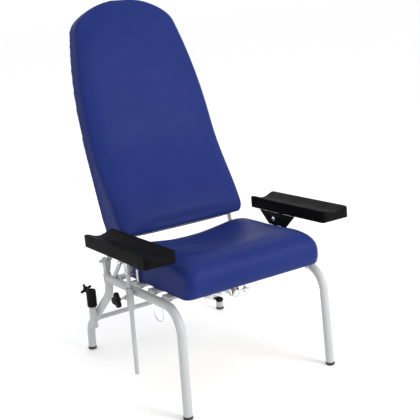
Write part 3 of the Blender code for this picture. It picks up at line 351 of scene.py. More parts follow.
def plywood():
    """Birch plywood: long grain with darker figure."""
    mat = new_material("plywood", (0.50, 0.34, 0.19), 0.6)
    pale, tan, line = (0.52, 0.41, 0.28), (0.44, 0.34, 0.22), (0.27, 0.19, 0.11)
    where = object_coordinates(mat, (9.0, 1.0, 1.4))
    grain, figure = noise_field(mat, where, 14.0, 6.0, 0.7), noise_field(mat, where, 3.0, 3.0)
    tone = clouded(mat, figure, pale, tan)
    set_colour(mat, blend_colours(mat, spread(mat, grain, 0.0, 0.6, 0.5, 0.75), tone, line))
    set_roughness(mat, spread(mat, grain, 0.5, 0.7))
    bumps(mat, (grain, 0.2, 0.0003))
    return mat


MATERIALS = {
    "blue_vinyl": blue_vinyl(),
    "white_paint": white_paint(),
    "black_foam": black_foam(),
    "black_plastic": moulded("black_plastic", (0.0045, 0.0045, 0.0048), (0.0075, 0.0075, 0.0078), 0.58),
    "grey_rubber": moulded("grey_rubber", (0.045, 0.045, 0.046), (0.070, 0.070, 0.070), 0.65),
    "zinc": plated("zinc", (0.50, 0.51, 0.50), (0.66, 0.68, 0.70), 0.26, 0.42, (1.0, 4.0, 1.0)),
    "chrome": plated("chrome", (0.72, 0.73, 0.75), (0.82, 0.83, 0.84), 0.09, 0.20, (5.0, 1.0, 1.0)),
    "plywood": plywood(),
    "thread": moulded("thread", (0.020, 0.032, 0.140), (0.032, 0.046, 0.180), 0.60),
}


# ---------------------------------------------------------------- building blocks
def add_piece(name, data, material, body, nodes=()):
    """Put a piece in the scene, on its body, in place of the CAD nodes it stands for."""
    obj = bpy.data.objects.new(name, data)
    bpy.context.scene.collection.objects.link(obj)
    data.materials.append(MATERIALS[material])
    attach(obj, body)
    if nodes:
        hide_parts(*nodes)
    return obj


def mesh_from(name, bm):
    """A smooth-shaded mesh from a bmesh, with its faces turned outwards."""
    bmesh.ops.recalc_face_normals(bm, faces=bm.faces)
    mesh = bpy.data.meshes.new(name)
    bm.to_mesh(mesh)
    bm.free()
    mesh.shade_smooth()
    return mesh


def rounded_path(corners, radii):
    """Points of a path whose corners are replaced by arcs of the given radii."""
    step = math.radians(5)
    points = [Vector(corners[0])]
    for before, corner, after, radius in zip(corners, corners[1:], corners[2:], radii):
        back, ahead = (before - corner).normalized(), (after - corner).normalized()
        turn = math.pi - back.angle(ahead)
        reach = radius * math.tan(turn / 2)
        centre = corner + (back + ahead).normalized() * (radius / math.cos(turn / 2))
        first, side = corner + back * reach - centre, -back * radius
        count = max(2, round(turn / step))
        for i in range(count + 1):
            angle = turn * i / count
            points.append(centre + first * math.cos(angle) + side * math.sin(angle))
    points.append(Vector(corners[-1]))
    return points


def curve_data(name, radius, resolution):
    """An empty round curve of this radius, for splines."""
    curve = bpy.data.curves.new(name, "CURVE")
    curve.dimensions = "3D"
    curve.bevel_depth = radius
    curve.bevel_resolution = resolution
    curve.use_fill_caps = True
    return curve


def add_spline(curve, points, cyclic=False, radii=None):
    """A straight-line spline through the points; radii scale the curve's own radius."""
    spline = curve.splines.new("POLY")
    spline.points.add(len(points) - 1)
    for i, (knot, point) in enumerate(zip(spline.points, points)):
        knot.co = (*point, 1.0)
        knot.radius = radii[i] if radii else 1.0
    spline.use_cyclic_u = cyclic
    spline.use_smooth = True


def turned(name, profile, base, direction, material, body, nodes=(), steps=48, edge=0.0004,
           hollow=False):
    """A turned piece: profile holds (radius, height) pairs, from the bottom to the top.

    A hollow piece's profile goes on down its bore, to where it began.
    """
    points = [(radius, 0.0, height) for radius, height in reversed(profile)]
    if not hollow:
        points = [(0.0, 0.0, profile[-1][1])] + points + [(0.0, 0.0, profile[0][1])]
    links = [(i, i + 1) for i in range(len(points) - 1)]
    if hollow:
        links.append((len(points) - 1, 0))
    mesh = bpy.data.meshes.new(name)
    mesh.from_pydata(points, links, [])
    obj = bpy.data.objects.new(name, mesh)
    bpy.context.scene.collection.objects.link(obj)
    mesh.materials.append(MATERIALS[material])
    turn = Vector((0, 0, 1)).rotation_difference(Vector(direction)).to_matrix().to_4x4()
    obj.matrix_world = Matrix.Translation(base) @ turn
    screw = obj.modifiers.new("turn", "SCREW")
    screw.steps = screw.render_steps = steps
    screw.use_merge_vertices = True
    screw.merge_threshold = MERGE
    screw.use_smooth_shade = True
    round_edges(obj, edge)
    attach(obj, body)
    if nodes:
        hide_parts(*nodes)


def round_edges(obj, width, segments=2, angle=28):
    """Soften the edges that are sharper than this angle in degrees."""
    mod = obj.modifiers.new("edges", "BEVEL")
    mod.width = width
    mod.segments = segments
    mod.limit_method = "ANGLE"
    mod.angle_limit = math.radians(angle)
    mod.harden_normals = True


def bead(curve, points, cyclic=False):
    """One weld bead: its radius swells and shrinks with each ripple of the weld."""
    ripple, swollen, shrunk = 0.0012, 0.22, -0.12
    fine = []
    ends = list(zip(points, points[1:])) + ([(points[-1], points[0])] if cyclic else [])
    for start, end in ends:
        count = max(1, round((end - start).length / ripple))
        fine += [start.lerp(end, i / count) for i in range(count)]
    if not cyclic:
        fine.append(points[-1])
    add_spline(curve, fine, cyclic, [1.0 + (swollen if i % 2 else shrunk) for i in range(len(fine))])


def ring(centre, radius):
    """Thirty points of a circle round a line along X."""
    turn = Vector((0, 0, 1)).rotation_difference(Vector((1, 0, 0))).to_matrix()
    angles = [math.radians(12 * i) for i in range(30)]
    return [centre + turn @ Vector((radius * math.cos(a), radius * math.sin(a), 0)) for a in angles]


# ---------------------------------------------------------------- cushion shapes
def grid_block(name, place, cuts):
    """A closed block whose grid of points is moved by place(u, v, w), with u, v and w from -1 to 1."""
    bm = bmesh.new()
    bmesh.ops.create_cube(bm, size=2.0)
    bmesh.ops.subdivide_edges(bm, edges=bm.edges, cuts=cuts, use_grid_fill=True)
    for vert in bm.verts:
        vert.co = place(*vert.co)
    return mesh_from(name, bm)


def rounded_plan(u, v, half_x, half_y, corner):
    """Map the square -1 to 1 onto a rectangle with round corners, ring by ring; also the ring, 0 to 1."""
    u, v = (math.copysign(1 - (1 - abs(share)) ** 1.5, share) for share in (u, v))
    ring_share = max(abs(u), abs(v), 1e-6)
    x, y = abs(u) / ring_share * half_x, abs(v) / ring_share * half_y
    beyond_x, beyond_y = x - (half_x - corner), y - (half_y - corner)
    if beyond_x > 0 and beyond_y > 0:
        angle = math.pi / 2 * beyond_y / (beyond_x + beyond_y)
        x = half_x - corner + corner * math.cos(angle)
        y = half_y - corner + corner * math.sin(angle)
    share = 1 - (1 - ring_share) ** 1.25
    return math.copysign(x, u) * share, math.copysign(y, v) * share, share


def edge_drop(inside, radius):
    """How far a rounded edge has fallen away, at this distance in from it."""
    if inside >= radius:
        return 0.0
    return radius - math.sqrt(radius ** 2 - (radius - inside) ** 2)


def seat_point(u, v, w):
    """The seat cushion: a raised round front roll, a dished rear and rounded edges."""
    middle, half = (SEAT_FRONT_Y + SEAT_REAR_Y) / 2, (SEAT_REAR_Y - SEAT_FRONT_Y) / 2
    corner = SEAT_REAR_CORNER if v > 0 else SEAT_FRONT_CORNER
    x, y, share = rounded_plan(u, v, SEAT_HALF_WIDTH, half, corner)
    level = (w + 1) / 2
    rear = (y / half + 1) / 2
    frontness = max(0.0, -y / half)
    hump = 0.006 * math.exp(-((y / half + 0.62) / 0.25) ** 2)
    height = SEAT_SIDE_HEIGHT + hump - 0.002 * rear ** 2
    height -= SEAT_DISH * (1 - (x / SEAT_HALF_WIDTH) ** 2) ** 1.3 * min(1.0, rear * 1.7) ** 2
    inside = (1 - share) * min(half, SEAT_HALF_WIDTH)
    height -= edge_drop(inside, SEAT_EDGE + SEAT_ROLL * frontness ** 2.5)
    y += middle + SEAT_TUCK * (1 - level) ** 2 * frontness ** 6
    return at(x, y, seat_base_z(y) + 0.0003 + level * height)


def back_half_width(along):
    """Half the cushion's width: widest at the waist, tapered above it, and round at the top."""
    places, widths = zip(*BACK_STATIONS)
    width = float(np.interp(along + BACK_FAIRING, places, widths).mean())
    fall = max(0.0, 1 - along / BACK_FOOT_ROUNDING)
    width -= BACK_FOOT_ROUNDING * (1 - math.sqrt(1 - fall ** 2))
    rise = max(0.0, (along - (BACK_LENGTH - BACK_TOP_ROUNDING)) / BACK_TOP_ROUNDING)
    return width * math.sqrt(max(0.0, 1 - min(rise, 1.0) ** 2.15))


def back_thickness(along):
    """Thick at the lumbar swell, easing to thin above it."""
    share = min(1.0, along / BACK_LUMBAR_END)
    ease = share * share * (3 - 2 * share)
    return BACK_THICK_LOW + (BACK_THICK_HIGH - BACK_THICK_LOW) * ease


def back_cushion_point(u, v, w):
    """The back cushion: a tapered slab with a round top, a lumbar swell and a faint hollow up it."""
    along = BACK_LENGTH * math.sin((v + 1) / 2 * math.pi / 2) ** 1.25
    along = max(0.004, min(along, BACK_LENGTH - 0.001))
    level = (w + 1) / 2
    width = max(back_half_width(along), 0.012)
    hollow = 0.005 * math.exp(-(u / 0.42) ** 2) * min(1.0, along / 0.25)
    crown = 0.006 * (1 - abs(u) ** 2.5) - hollow
    across = math.copysign(1 - (1 - abs(u)) ** 1.3, u)
    inside = min((1 - abs(across)) * width, along, BACK_LENGTH - along)
    thick = back_thickness(along) + crown - edge_drop(inside, BACK_EDGE) * 0.8
    along += BACK_FOOT_UNDERCUT * (1 - level) * max(0.0, 1 - along / BACK_FOOT_REACH)
    return back_point(across * width, along, level * thick)


# ---------------------------------------------------------------- covers
def vertex_array(mesh):
    """The mesh's points, as rows of x, y and z."""
    flat = np.empty(len(mesh.vertices) * 3, np.float32)
    mesh.vertices.foreach_get("co", flat)
    return flat.reshape(-1, 3).astype(float)


def set_vertices(mesh, points):
    mesh.vertices.foreach_set("co", points.astype(np.float32).ravel())
    mesh.update()


def normal_array(mesh):
    flat = np.empty(len(mesh.vertices) * 3, np.float32)
    mesh.vertices.foreach_get("normal", flat)
    return flat.reshape(-1, 3).astype(float)


def voxel_remesh(obj):
    """Give the cover an even mesh, as cloth needs."""
    mod = obj.modifiers.new("remesh", "REMESH")
    mod.mode = "VOXEL"
    mod.voxel_size = COVER_VOXEL
    bpy.context.view_layer.update()
    graph = bpy.context.evaluated_depsgraph_get()
    mesh = bpy.data.meshes.new_from_object(obj.evaluated_get(graph))
    obj.modifiers.clear()
    obj.data = mesh
    mesh.shade_smooth()


def neighbour_averager(mesh):
    """A function that gives, for each point's row of values, the mean of its neighbours' rows."""
    edges = np.empty(len(mesh.edges) * 2, np.int32)
    mesh.edges.foreach_get("vertices", edges)
    a, b = edges.reshape(-1, 2).T
    count = np.bincount(np.concatenate([a, b]), minlength=len(mesh.vertices))[:, None]

    def average(values):
        total = np.zeros_like(values)
        np.add.at(total, a, values[b])
        np.add.at(total, b, values[a])
        return total / count

    return average


def relax(mesh, rounds):
    """Even out the voxel steps: each point moves towards the middle of its neighbours, then back."""
    average = neighbour_averager(mesh)
    points = vertex_array(mesh)
    for i in range(rounds):
        step = 0.5 if i % 2 == 0 else -0.52
        points += step * (average(points) - points)
    set_vertices(mesh, points)


def inflate(obj, held):
    """Let the cover swell as cloth under pressure. held gives each point's grip, 0 to 1.

    Only the outward part of each point's move is kept, up to a limit, and it is evened out.
    """
    start = vertex_array(obj.data)
    group = obj.vertex_groups.new(name="held")
    for grip in sorted(set(np.round(held, 1))):
        members = np.flatnonzero(np.round(held, 1) == grip)
        if grip > 0:
            group.add(members.tolist(), float(grip), "REPLACE")
    mod = obj.modifiers.new("cloth", "CLOTH")
    cloth = mod.settings
    cloth.quality = 4
    cloth.mass = 0.35
    cloth.tension_stiffness = cloth.compression_stiffness = 22.0
    cloth.shear_stiffness = 12.0
    cloth.bending_stiffness = 1.5
    cloth.use_pressure = True
    cloth.uniform_pressure_force = CLOTH_PRESSURE
    cloth.effector_weights.gravity = 0.0
    cloth.vertex_group_mass = group.name
    mod.collision_settings.use_collision = False
    mod.point_cache.frame_start = 1
    mod.point_cache.frame_end = CLOTH_FRAMES
    scene = bpy.context.scene
    for step in range(1, CLOTH_FRAMES + 1):
        scene.frame_set(step)
    graph = bpy.context.evaluated_depsgraph_get()
    swollen = obj.evaluated_get(graph)
    moved = vertex_array(swollen.to_mesh()) - start
    swollen.to_mesh_clear()
    obj.modifiers.remove(mod)
    obj.vertex_groups.clear()
    scene.frame_set(1)
    normals, average = normal_array(obj.data), neighbour_averager(obj.data)
    swell = (moved * normals).sum(axis=1, keepdims=True)
    swell = SWELL_LIMIT * np.tanh(np.maximum(swell, 0.0) / SWELL_LIMIT)
    for _ in range(SWELL_SMOOTHING):
        swell = average(swell)
    set_vertices(obj.data, start + normals * swell)


def along_seam(tree, route, spacing):
    """Places and normals on the cover under a route, at an even spacing."""
    lengths = [0.0]
    for start, end in zip(route, route[1:]):
        lengths.append(lengths[-1] + (end - start).length)
    found = []
    count = int(lengths[-1] / spacing)
    for i in range(count + 1):
        reach = lengths[-1] * i / count
        j = max(1, int(np.searchsorted(lengths, reach)))
        share = (reach - lengths[j - 1]) / max(lengths[j] - lengths[j - 1], 1e-9)
        place, normal, _, _ = tree.find_nearest(route[j - 1].lerp(route[j], share))
        found.append((place, normal))
    return found


def sink_seams(mesh, routes):
    """Press a narrow puckered groove into the cover along each route."""
    reach = 4 * SEAM_WIDTH
    points, normals = vertex_array(mesh), normal_array(mesh)
    tree = BVHTree.FromPolygons(points.tolist(), [tuple(p.vertices) for p in mesh.polygons])
    line = np.array([place for route in routes for place, _ in along_seam(tree, route, 0.002)])
    low, high = line.min(0) - reach, line.max(0) + reach
    for index in np.flatnonzero(((points > low) & (points < high)).all(axis=1)):
        gap = np.sqrt(((line - points[index]) ** 2).sum(axis=1).min())
        if gap < reach:
            pucker = 1 + 0.18 * noise.noise(Vector(points[index]) * 90)
            points[index] -= normals[index] * SEAM_DEPTH * pucker * math.exp(-(gap / SEAM_WIDTH) ** 2)
    set_vertices(mesh, points)


def stitch_mesh(name, cover, routes, offset):
    """Rows of stitches beside the seams, each a short thread that dips into the cover at both ends."""
    thread = ((0.12, -0.0004), (0.30, 0.0003), (0.50, 0.0005), (0.70, 0.0003), (0.88, -0.0004))
    tree = BVHTree.FromObject(cover, bpy.context.evaluated_depsgraph_get())
    curve = curve_data(name, STITCH_RADIUS, 2)
    for route in routes:
        row = along_seam(tree, route, STITCH_PITCH)
        for (start, up), (end, _) in zip(row, row[1:]):
            along = (end - start).normalized()
            side = along.cross(up).normalized() * offset
            points = []
            for share, rise in thread:
                place, normal, _, _ = tree.find_nearest(start.lerp(end, share) + side)
                points.append(place + normal * rise)
            add_spline(curve, points)
    return curve


def upholster(name, place, cuts, held, node, body, routes):
    """A stuffed cover from its block: remeshed, swollen as cloth, seamed and stitched."""
    obj = add_piece(name, grid_block(name, place, cuts), "blue_vinyl", body, nodes=(node,))
    voxel_remesh(obj)
    relax(obj.data, 8)
    grip = held(vertex_array(obj.data))
    shrink = normal_array(obj.data) * COVER_SHRINK * (1 - grip[:, None])
    set_vertices(obj.data, vertex_array(obj.data) - shrink)
    inflate(obj, grip)
    relax(obj.data, 4)
    obj.data.materials.clear()
    obj.data.materials.append(MATERIALS["blue_vinyl"])
    obj.data.shade_smooth()
    sink_seams(obj.data, routes)
    subdivide = obj.modifiers.new("smooth", "SUBSURF")
    subdivide.levels = subdivide.render_levels = 1
    for row, offset in (("inner", STITCH_OFFSET), ("outer", -STITCH_OFFSET)):
        stitches = stitch_mesh(f"{name}_stitches_{row}", obj, routes, offset)
        add_piece(stitches.name, stitches, "thread", body)


def seat_seams():
    """The joins of the seat's top panel with its sides, from the rear round the front roll."""
    routes = []
    for sign in SIDES.values():
        profile = [seat_point(0.8, 0.94 - 1.94 * i / 60, 1.0) for i in range(61)]
        profile += [seat_point(0.8, -1.0, 1.0 - 1.85 * i / 20) for i in range(1, 21)]
        routes.append([Vector((sign * SEAT_HALF_WIDTH, point.y, point.z)) for point in profile])
    return routes


def back_seam():
    """The join of the back's front panel with its sides: up one side, over the top and down the other."""
    right = [back_cushion_point(1.0, -0.96 + 1.90 * i / 80, 0.92) for i in range(81)]
    left = [Vector((-point.x, point.y, point.z)) for point in reversed(right)]
    return [right + left]


def seat_grip(points):
    """The seat's cover is fixed to the board below and free above it."""
    height = points[:, 2] - np.array([seat_base_z(y - DEPTH_SHIFT) for y in points[:, 1]])
    return np.clip(1 - (height - 0.008) / 0.045, 0, 1)


def back_grip(points):
    """The back's cover is fixed behind, along its board, and free in front."""
    sin, cos = math.sin(BACK_LEAN), math.cos(BACK_LEAN)
    out = -(points[:, 1] - DEPTH_SHIFT - BACK_Y) * cos + (points[:, 2] - BACK_Z) * sin
    return np.clip(1 - (out - 0.006) / 0.030, 0, 1)


# ---------------------------------------------------------------- arm gutters
def arm_matrix(sign):
    """A gutter's own axes at its tilt bolt: it lies at the seat's tilt."""
    place = at(sign * PAD_X, ROD_Y, ARM_PIVOT_Z)
    return Matrix.Translation(place) @ Matrix.Rotation(-SEAT_TILT, 4, "X")


def gutter_section(half, low, high, hollow):
    """Cross-section of a gutter: flat bottom, upright sides, two ridges and the hollow between them."""
    corner, ridge, steps = 0.0040, 0.012, 16
    right, top, bottom = half - corner, high - corner, low + corner

    def arc(x, z, start):
        angles = [math.radians(start + 15 * i) for i in range(7)]
        return [(x + corner * math.cos(a), z + corner * math.sin(a)) for a in angles]

    shares = [1 - 2 * i / steps for i in range(steps + 1)]
    dip = [(s * (half - ridge), high - hollow * math.cos(s * math.pi / 2) ** 1.25) for s in shares]
    points = arc(right, bottom, -90) + arc(right, top, 0) + dip
    return points + arc(-right, top, 90) + arc(-right, bottom, 180)


def arm_gutter(side, sign):
    """Moulded foam gutter for the forearm, with round front corners and a square rear end."""
    front = PAD_REAR_Y - ROD_Y - PAD_LENGTH
    high = PAD_TOP_Z - ARM_PIVOT_Z
    low = high - PAD_THICKNESS
    plan_radius, edge_radius, rear_radius, nose_drop, nose_reach = 0.015, 0.007, 0.003, 0.004, 0.026
    stations = [0.0, 0.0006, 0.0015, 0.003, 0.005, 0.0075, 0.0105, 0.014, 0.018, 0.024]
    stations += [0.024 + (PAD_LENGTH - 0.029) * i / 60 for i in range(1, 61)]
    stations += [PAD_LENGTH - 0.0035, PAD_LENGTH - 0.0020, PAD_LENGTH - 0.0008, PAD_LENGTH]
    bm = bmesh.new()
    rings = []
    for reach in stations:
        rear = edge_drop(PAD_LENGTH - reach, rear_radius)
        plan, edge = max(edge_drop(reach, plan_radius), rear), max(edge_drop(reach, edge_radius), rear)
        nose = nose_drop * max(0.0, 1 - reach / nose_reach) ** 2
        hollow = PAD_HOLLOW * min(1.0, 0.55 + reach / 0.05)
        section = gutter_section(PAD_WIDTH / 2 - plan, low + edge + nose, high - edge - nose, hollow)
        rings.append([bm.verts.new((x, front + reach, z)) for x, z in section])
    for first, second in zip(rings, rings[1:]):
        for i in range(len(first)):
            j = (i + 1) % len(first)
            bm.faces.new((first[i], first[j], second[j], second[i]))
    bm.faces.new(rings[0][::-1])
    bm.faces.new(rings[-1])
    mesh = mesh_from(f"gutter_{side}", bm)
    mesh.transform(arm_matrix(sign))
    gutter = add_piece(f"gutter_{side}", mesh, "black_foam", f"arm_rest_{side}", nodes=(f"arm_pad_{side}",))
    round_edges(gutter, 0.0008, 2, 40)


def gutter_inserts(side, sign):
    """The heads of the screws in a gutter's underside."""
    matrix = arm_matrix(sign)
    low = PAD_TOP_Z - ARM_PIVOT_Z - PAD_THICKNESS
    down = matrix.to_3x3() @ Vector((0, 0, -1))
    profile = [(0.0085, 0.0), (0.0085, 0.0020), (0.0062, 0.0030), (0.0050, 0.0050)]
    for place, y in (("front", -0.090), ("rear", 0.055)):
        base = matrix @ Vector((0, y, low + 0.001))
        turned(f"gutter_screw_{place}_{side}", profile, base, down, "zinc", f"arm_rest_{side}")


# ---------------------------------------------------------------- tubes and rods
def leg_tubes(side, sign):
    """A rail with its front leg in one bent tube, and the rear leg, which leans to the back's hinge."""
    def spot(y, z):
        return at(sign * frame_x(z), y, z)

    front = [spot(RAIL_END_Y, rail_z(RAIL_END_Y)), spot(FRONT_BEND_Y, rail_z(FRONT_BEND_Y)),
             spot(FRONT_FOOT_Y + FRONT_RAKE * LEG_END_Z, LEG_END_Z)]
    rear = [spot(REAR_FOOT_Y, LEG_END_Z), spot(REAR_FOOT_Y, REAR_BEND_Z), spot(KNEE_Y, KNEE_Z),
            spot(upright_y(REAR_LEG_TOP_Z), REAR_LEG_TOP_Z)]
    tubes = (("front", front, (FRONT_BEND_RADIUS,)), ("rear", rear, (REAR_BEND_RADIUS, KNEE_RADIUS)))
    for place, corners, radii in tubes:
        curve = curve_data(f"leg_tube_{place}_{side}", TUBE_RADIUS, 10)
        add_spline(curve, rounded_path(corners, radii))
        add_piece(curve.name, curve, "white_paint", "chair_frame", nodes=(f"{place}_leg_{side}",))


def feet(side, sign):
    """Ribbed rubber caps on the leg ends."""
    profile = [(0.0125, 0.0), (0.0148, 0.0008), (0.0160, 0.0024), (0.0160, 0.0042), (0.0155, 0.0046),
               (0.0155, 0.0052), (0.0160, 0.0056), (0.0160, 0.0078), (0.0152, 0.0090)]
    for place, y in (("front", FRONT_FOOT_Y), ("rear", REAR_FOOT_Y)):
        turned(f"foot_{place}_{side}", profile, at(sign * frame_x(0), y, 0), (0, 0, 1), "grey_rubber",
               "chair_frame", (f"foot_cap_{place}_{side}",))


def arm_posts(side, sign):
    """The round rod of each arm, with its chamfered ends."""
    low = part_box(f"arm_rod_{side}")[0].z
    length = ROD_TOP_Z - low
    profile = [(0.0055, 0.0), (ROD_RADIUS, 0.0020), (ROD_RADIUS, length - 0.0010), (0.0066, length)]
    turned(f"arm_post_{side}", profile, at(sign * ROD_X, ROD_Y, low), (0, 0, 1), "white_paint",
           f"arm_lift_{side}", (f"arm_rod_{side}",))


def rail_joint(sign):
    """Where a rail runs into the leaning rear leg; open on the inside, where the back's arm swings."""
    points = []
    for angle in np.radians(np.linspace(-118, 118, 40)):
        across, rise = TUBE_RADIUS * math.cos(angle), TUBE_RADIUS * math.sin(angle)
        z = rail_z(RAIL_JOINT_Y) + rise
        depth = math.sqrt(max(TUBE_RADIUS ** 2 - across ** 2, 0.0)) / math.cos(UPRIGHT_LEAN)
        points.append(at(sign * (frame_x(z) + across), upright_y(z) - depth, z))
    return points


def sleeve_weld(curve, sign, edge):
    """One of the two beads between an arm's sleeve and the rail."""
    y, radius = ROD_Y + edge * 0.0112, TUBE_RADIUS + WELD_GAP
    middle = at(sign * frame_x(rail_z(y)), y, rail_z(y))
    angles = np.radians(np.linspace(-38, 30, 8))
    bead(curve, [middle + Vector((sign * radius * math.cos(a), 0, radius * math.sin(a))) for a in angles])


def slat_welds(curve, sign):
    """Short beads along both edges of each slat's end."""
    for y, width in SLATS.values():
        for edge in (-1, 1):
            edge_y = y + edge * (width / 2 + WELD_GAP)
            z = rail_z(edge_y) + TUBE_RADIUS + WELD_GAP
            bead(curve, [at(sign * x, edge_y, z) for x in (SLAT_HALF_LENGTH - 0.014, SLAT_HALF_LENGTH)])


def foot_welds(curve, sign):
    """Beads round the feet of the hinge's upright, open on the inside, and of the seat's stay."""
    foot_z, stay_y, stay_z = 0.3575, 0.113, 0.3562
    upright = ((-0.5, -1), (1, -1), (1, 1), (-0.5, 1))
    bead(curve, [at(sign * (RAIL_X + 0.0065 * u), upright_y(foot_z) + 0.0115 * v, foot_z - 0.0015)
                 for u, v in upright])
    stay = ((-1, -0.010), (-1, 0.010), (1, 0.010), (1, -0.010))
    bead(curve, [at(sign * (RAIL_X + 0.0036 * u), stay_y + v, stay_z - v * math.tan(SEAT_TILT))
                 for u, v in stay], True)


def welds():
    """Weld beads where tubes, slats, sleeves and uprights meet."""
    curve = curve_data("frame_welds", 0.0017, 2)
    low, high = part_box("rear_crossbar")
    for sign in SIDES.values():
        bead(curve, rail_joint(sign))
        for edge in (-1, 1):
            sleeve_weld(curve, sign, edge)
        slat_welds(curve, sign)
        foot_welds(curve, sign)
        end = Vector((sign * (high.x - 0.0004), (low.y + high.y) / 2, (low.z + high.z) / 2))
        bead(curve, ring(end, 0.0098), True)
    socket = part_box("drip_socket_tube")
    middle_y = (socket[0].y + socket[1].y) / 2
    inner_x = -frame_x(0.194) - TUBE_RADIUS - 0.0008
    bead(curve, [Vector((inner_x, middle_y + 0.017, 0.178)), Vector((inner_x, middle_y - 0.014, 0.209))])
    add_piece(curve.name, curve, "white_paint", "chair_frame")


def back_welds():
    """Weld beads of the bars and battens behind the backrest."""
    curve = curve_data("back_welds", 0.0013, 2)
    carrier = back_point(0, CARRIER_ALONG, -CARRIER_RADIUS - 0.0003)
    bars = (("back_carrier", CARRIER_RADIUS, carrier.y, carrier.z),
            ("crank_bar", CRANK_BAR_RADIUS, DEPTH_SHIFT + CRANK_Y, CRANK_Z))
    for node_name, radius, y, z in bars:
        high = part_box(node_name)[1]
        for sign in SIDES.values():
            bead(curve, ring(Vector((sign * (high.x - 0.0078), y, z)), radius + WELD_GAP), True)
    for sign in SIDES.values():
        for edge in (-1, 1):
            x = sign * BATTEN_X + edge * BATTEN_HALF_WIDTH
            bead(curve, [back_point(x, along, -0.0032) for along in (CARRIER_ALONG, CARRIER_ALONG + 0.012)])
    add_piece(curve.name, curve, "white_paint", "backrest")


# ---------------------------------------------------------------- knobs and fittings
def lobed_outline(radius, swell, lobes, turn):
    """A closed outline round the origin that swells out into this many lobes."""
    angles = [2 * math.pi * i / 120 for i in range(120)]
    reach = [radius + swell * math.cos(lobes * (a - turn)) for a in angles]
    return [(r * math.cos(a), r * math.sin(a), 0) for r, a in zip(reach, angles)]


def clamp_knob(side, sign):
    """Three-lobed hand knob of an arm's clamp: soft-edged grip, hub, cap and stud."""
    body, outward = f"clamp_knob_{side}", (sign, 0, 0)
    centre = at(sign * (ROD_X + 0.0515), ROD_Y, CLAMP_Z)
    half_thickness, edge = 0.007, 0.0036
    curve = bpy.data.curves.new(f"clamp_grip_{side}", "CURVE")
    curve.dimensions = "2D"
    curve.fill_mode = "BOTH"
    curve.extrude = half_thickness - edge
    curve.bevel_depth = edge
    curve.bevel_resolution = 4
    add_spline(curve, lobed_outline(0.0225 - edge, 0.0060, 3, math.radians(100)), True)
    grip = bpy.data.objects.new(curve.name, curve)
    bpy.context.scene.collection.objects.link(grip)
    upright = Matrix(((0, 0, 1, 0), (1, 0, 0, 0), (0, 1, 0, 0), (0, 0, 0, 1)))
    grip.matrix_world = Matrix.Translation(centre) @ upright
    curve.materials.append(MATERIALS["black_plastic"])
    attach(grip, body)
    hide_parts(f"arm_clamp_knob_{side}")
    hub = [(0.0080, -0.0130), (0.0095, -0.0115), (0.0105, -0.0060)]
    turned(f"clamp_hub_{side}", hub, centre, outward, "black_plastic", body)
    cap = [(0.0090, 0.0060), (0.0088, 0.0074), (0.0070, 0.0084), (0.0030, 0.0088)]
    turned(f"clamp_cap_{side}", cap, centre, outward, "black_plastic", body)
    threads = []
    for i in range(19):
        threads += [(0.0034, -0.0425 + 0.0016 * i), (0.0040, -0.0417 + 0.0016 * i)]
    turned(f"clamp_stud_{side}", threads, centre, outward, "zinc", body, steps=24)


def drip_sleeve():
    """Black collar of the drip-stand socket: grip rings, round lip and open mouth."""
    low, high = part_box("drip_socket_sleeve")
    base = Vector(((low.x + high.x) / 2, (low.y + high.y) / 2, low.z))
    radius, bore = (high.x - low.x) / 2, 0.0100
    height = high.z - low.z
    profile = [(bore, 0.0), (radius - 0.0015, 0.0), (radius, 0.0015)]
    for i in range(4):
        groove = 0.010 + 0.0042 * i
        profile += [(radius, groove), (radius - 0.0009, groove + 0.0006),
                    (radius - 0.0009, groove + 0.0014), (radius, groove + 0.0020)]
    profile += [(radius, height - 0.0040), (radius - 0.0012, height - 0.0012), (radius - 0.0035, height),
                (bore + 0.0012, height), (bore, height - 0.0012)]
    turned("drip_collar", profile, base, (0, 0, 1), "black_plastic", "chair_frame", ("drip_socket_sleeve",),
           steps=56, edge=0.0003, hollow=True)


def drip_knob():
    """Cross knob of the drip-stand socket: four round-ended arms on a turned hub with its collar."""
    low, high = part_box("drip_socket_knob")
    face = Vector(((low.x + high.x) / 2, high.y, (low.z + high.z) / 2))
    profile = [(0.0030, -0.0330), (0.0030, -0.0295), (0.0080, -0.0290), (0.0085, -0.0180),
               (0.0108, -0.0155), (0.0112, -0.0140), (0.0112, -0.0030), (0.0098, -0.0006), (0.0060, 0.0)]
    turned("drip_knob_hub", profile, face, (0, 1, 0), "black_plastic", "socket_knob")
    radius, start, straight = 0.0050, 0.004, 0.0188
    past = [radius * share for share in (0.0, 0.3, 0.55, 0.75, 0.9, 0.98)]
    reach = [start] + [straight + length for length in past]
    swell = [1.0] + [math.sqrt(1 - (length / radius) ** 2) for length in past]
    curve = curve_data("drip_knob_arms", radius, 4)
    for i in range(4):
        angle = math.radians(22 + 90 * i)
        across = Vector((math.cos(angle), 0, math.sin(angle)))
        add_spline(curve, [face + Vector((0, -0.0065, 0)) + across * r for r in reach], False, swell)
    add_piece(curve.name, curve, "black_plastic", "socket_knob", nodes=("drip_socket_knob",))


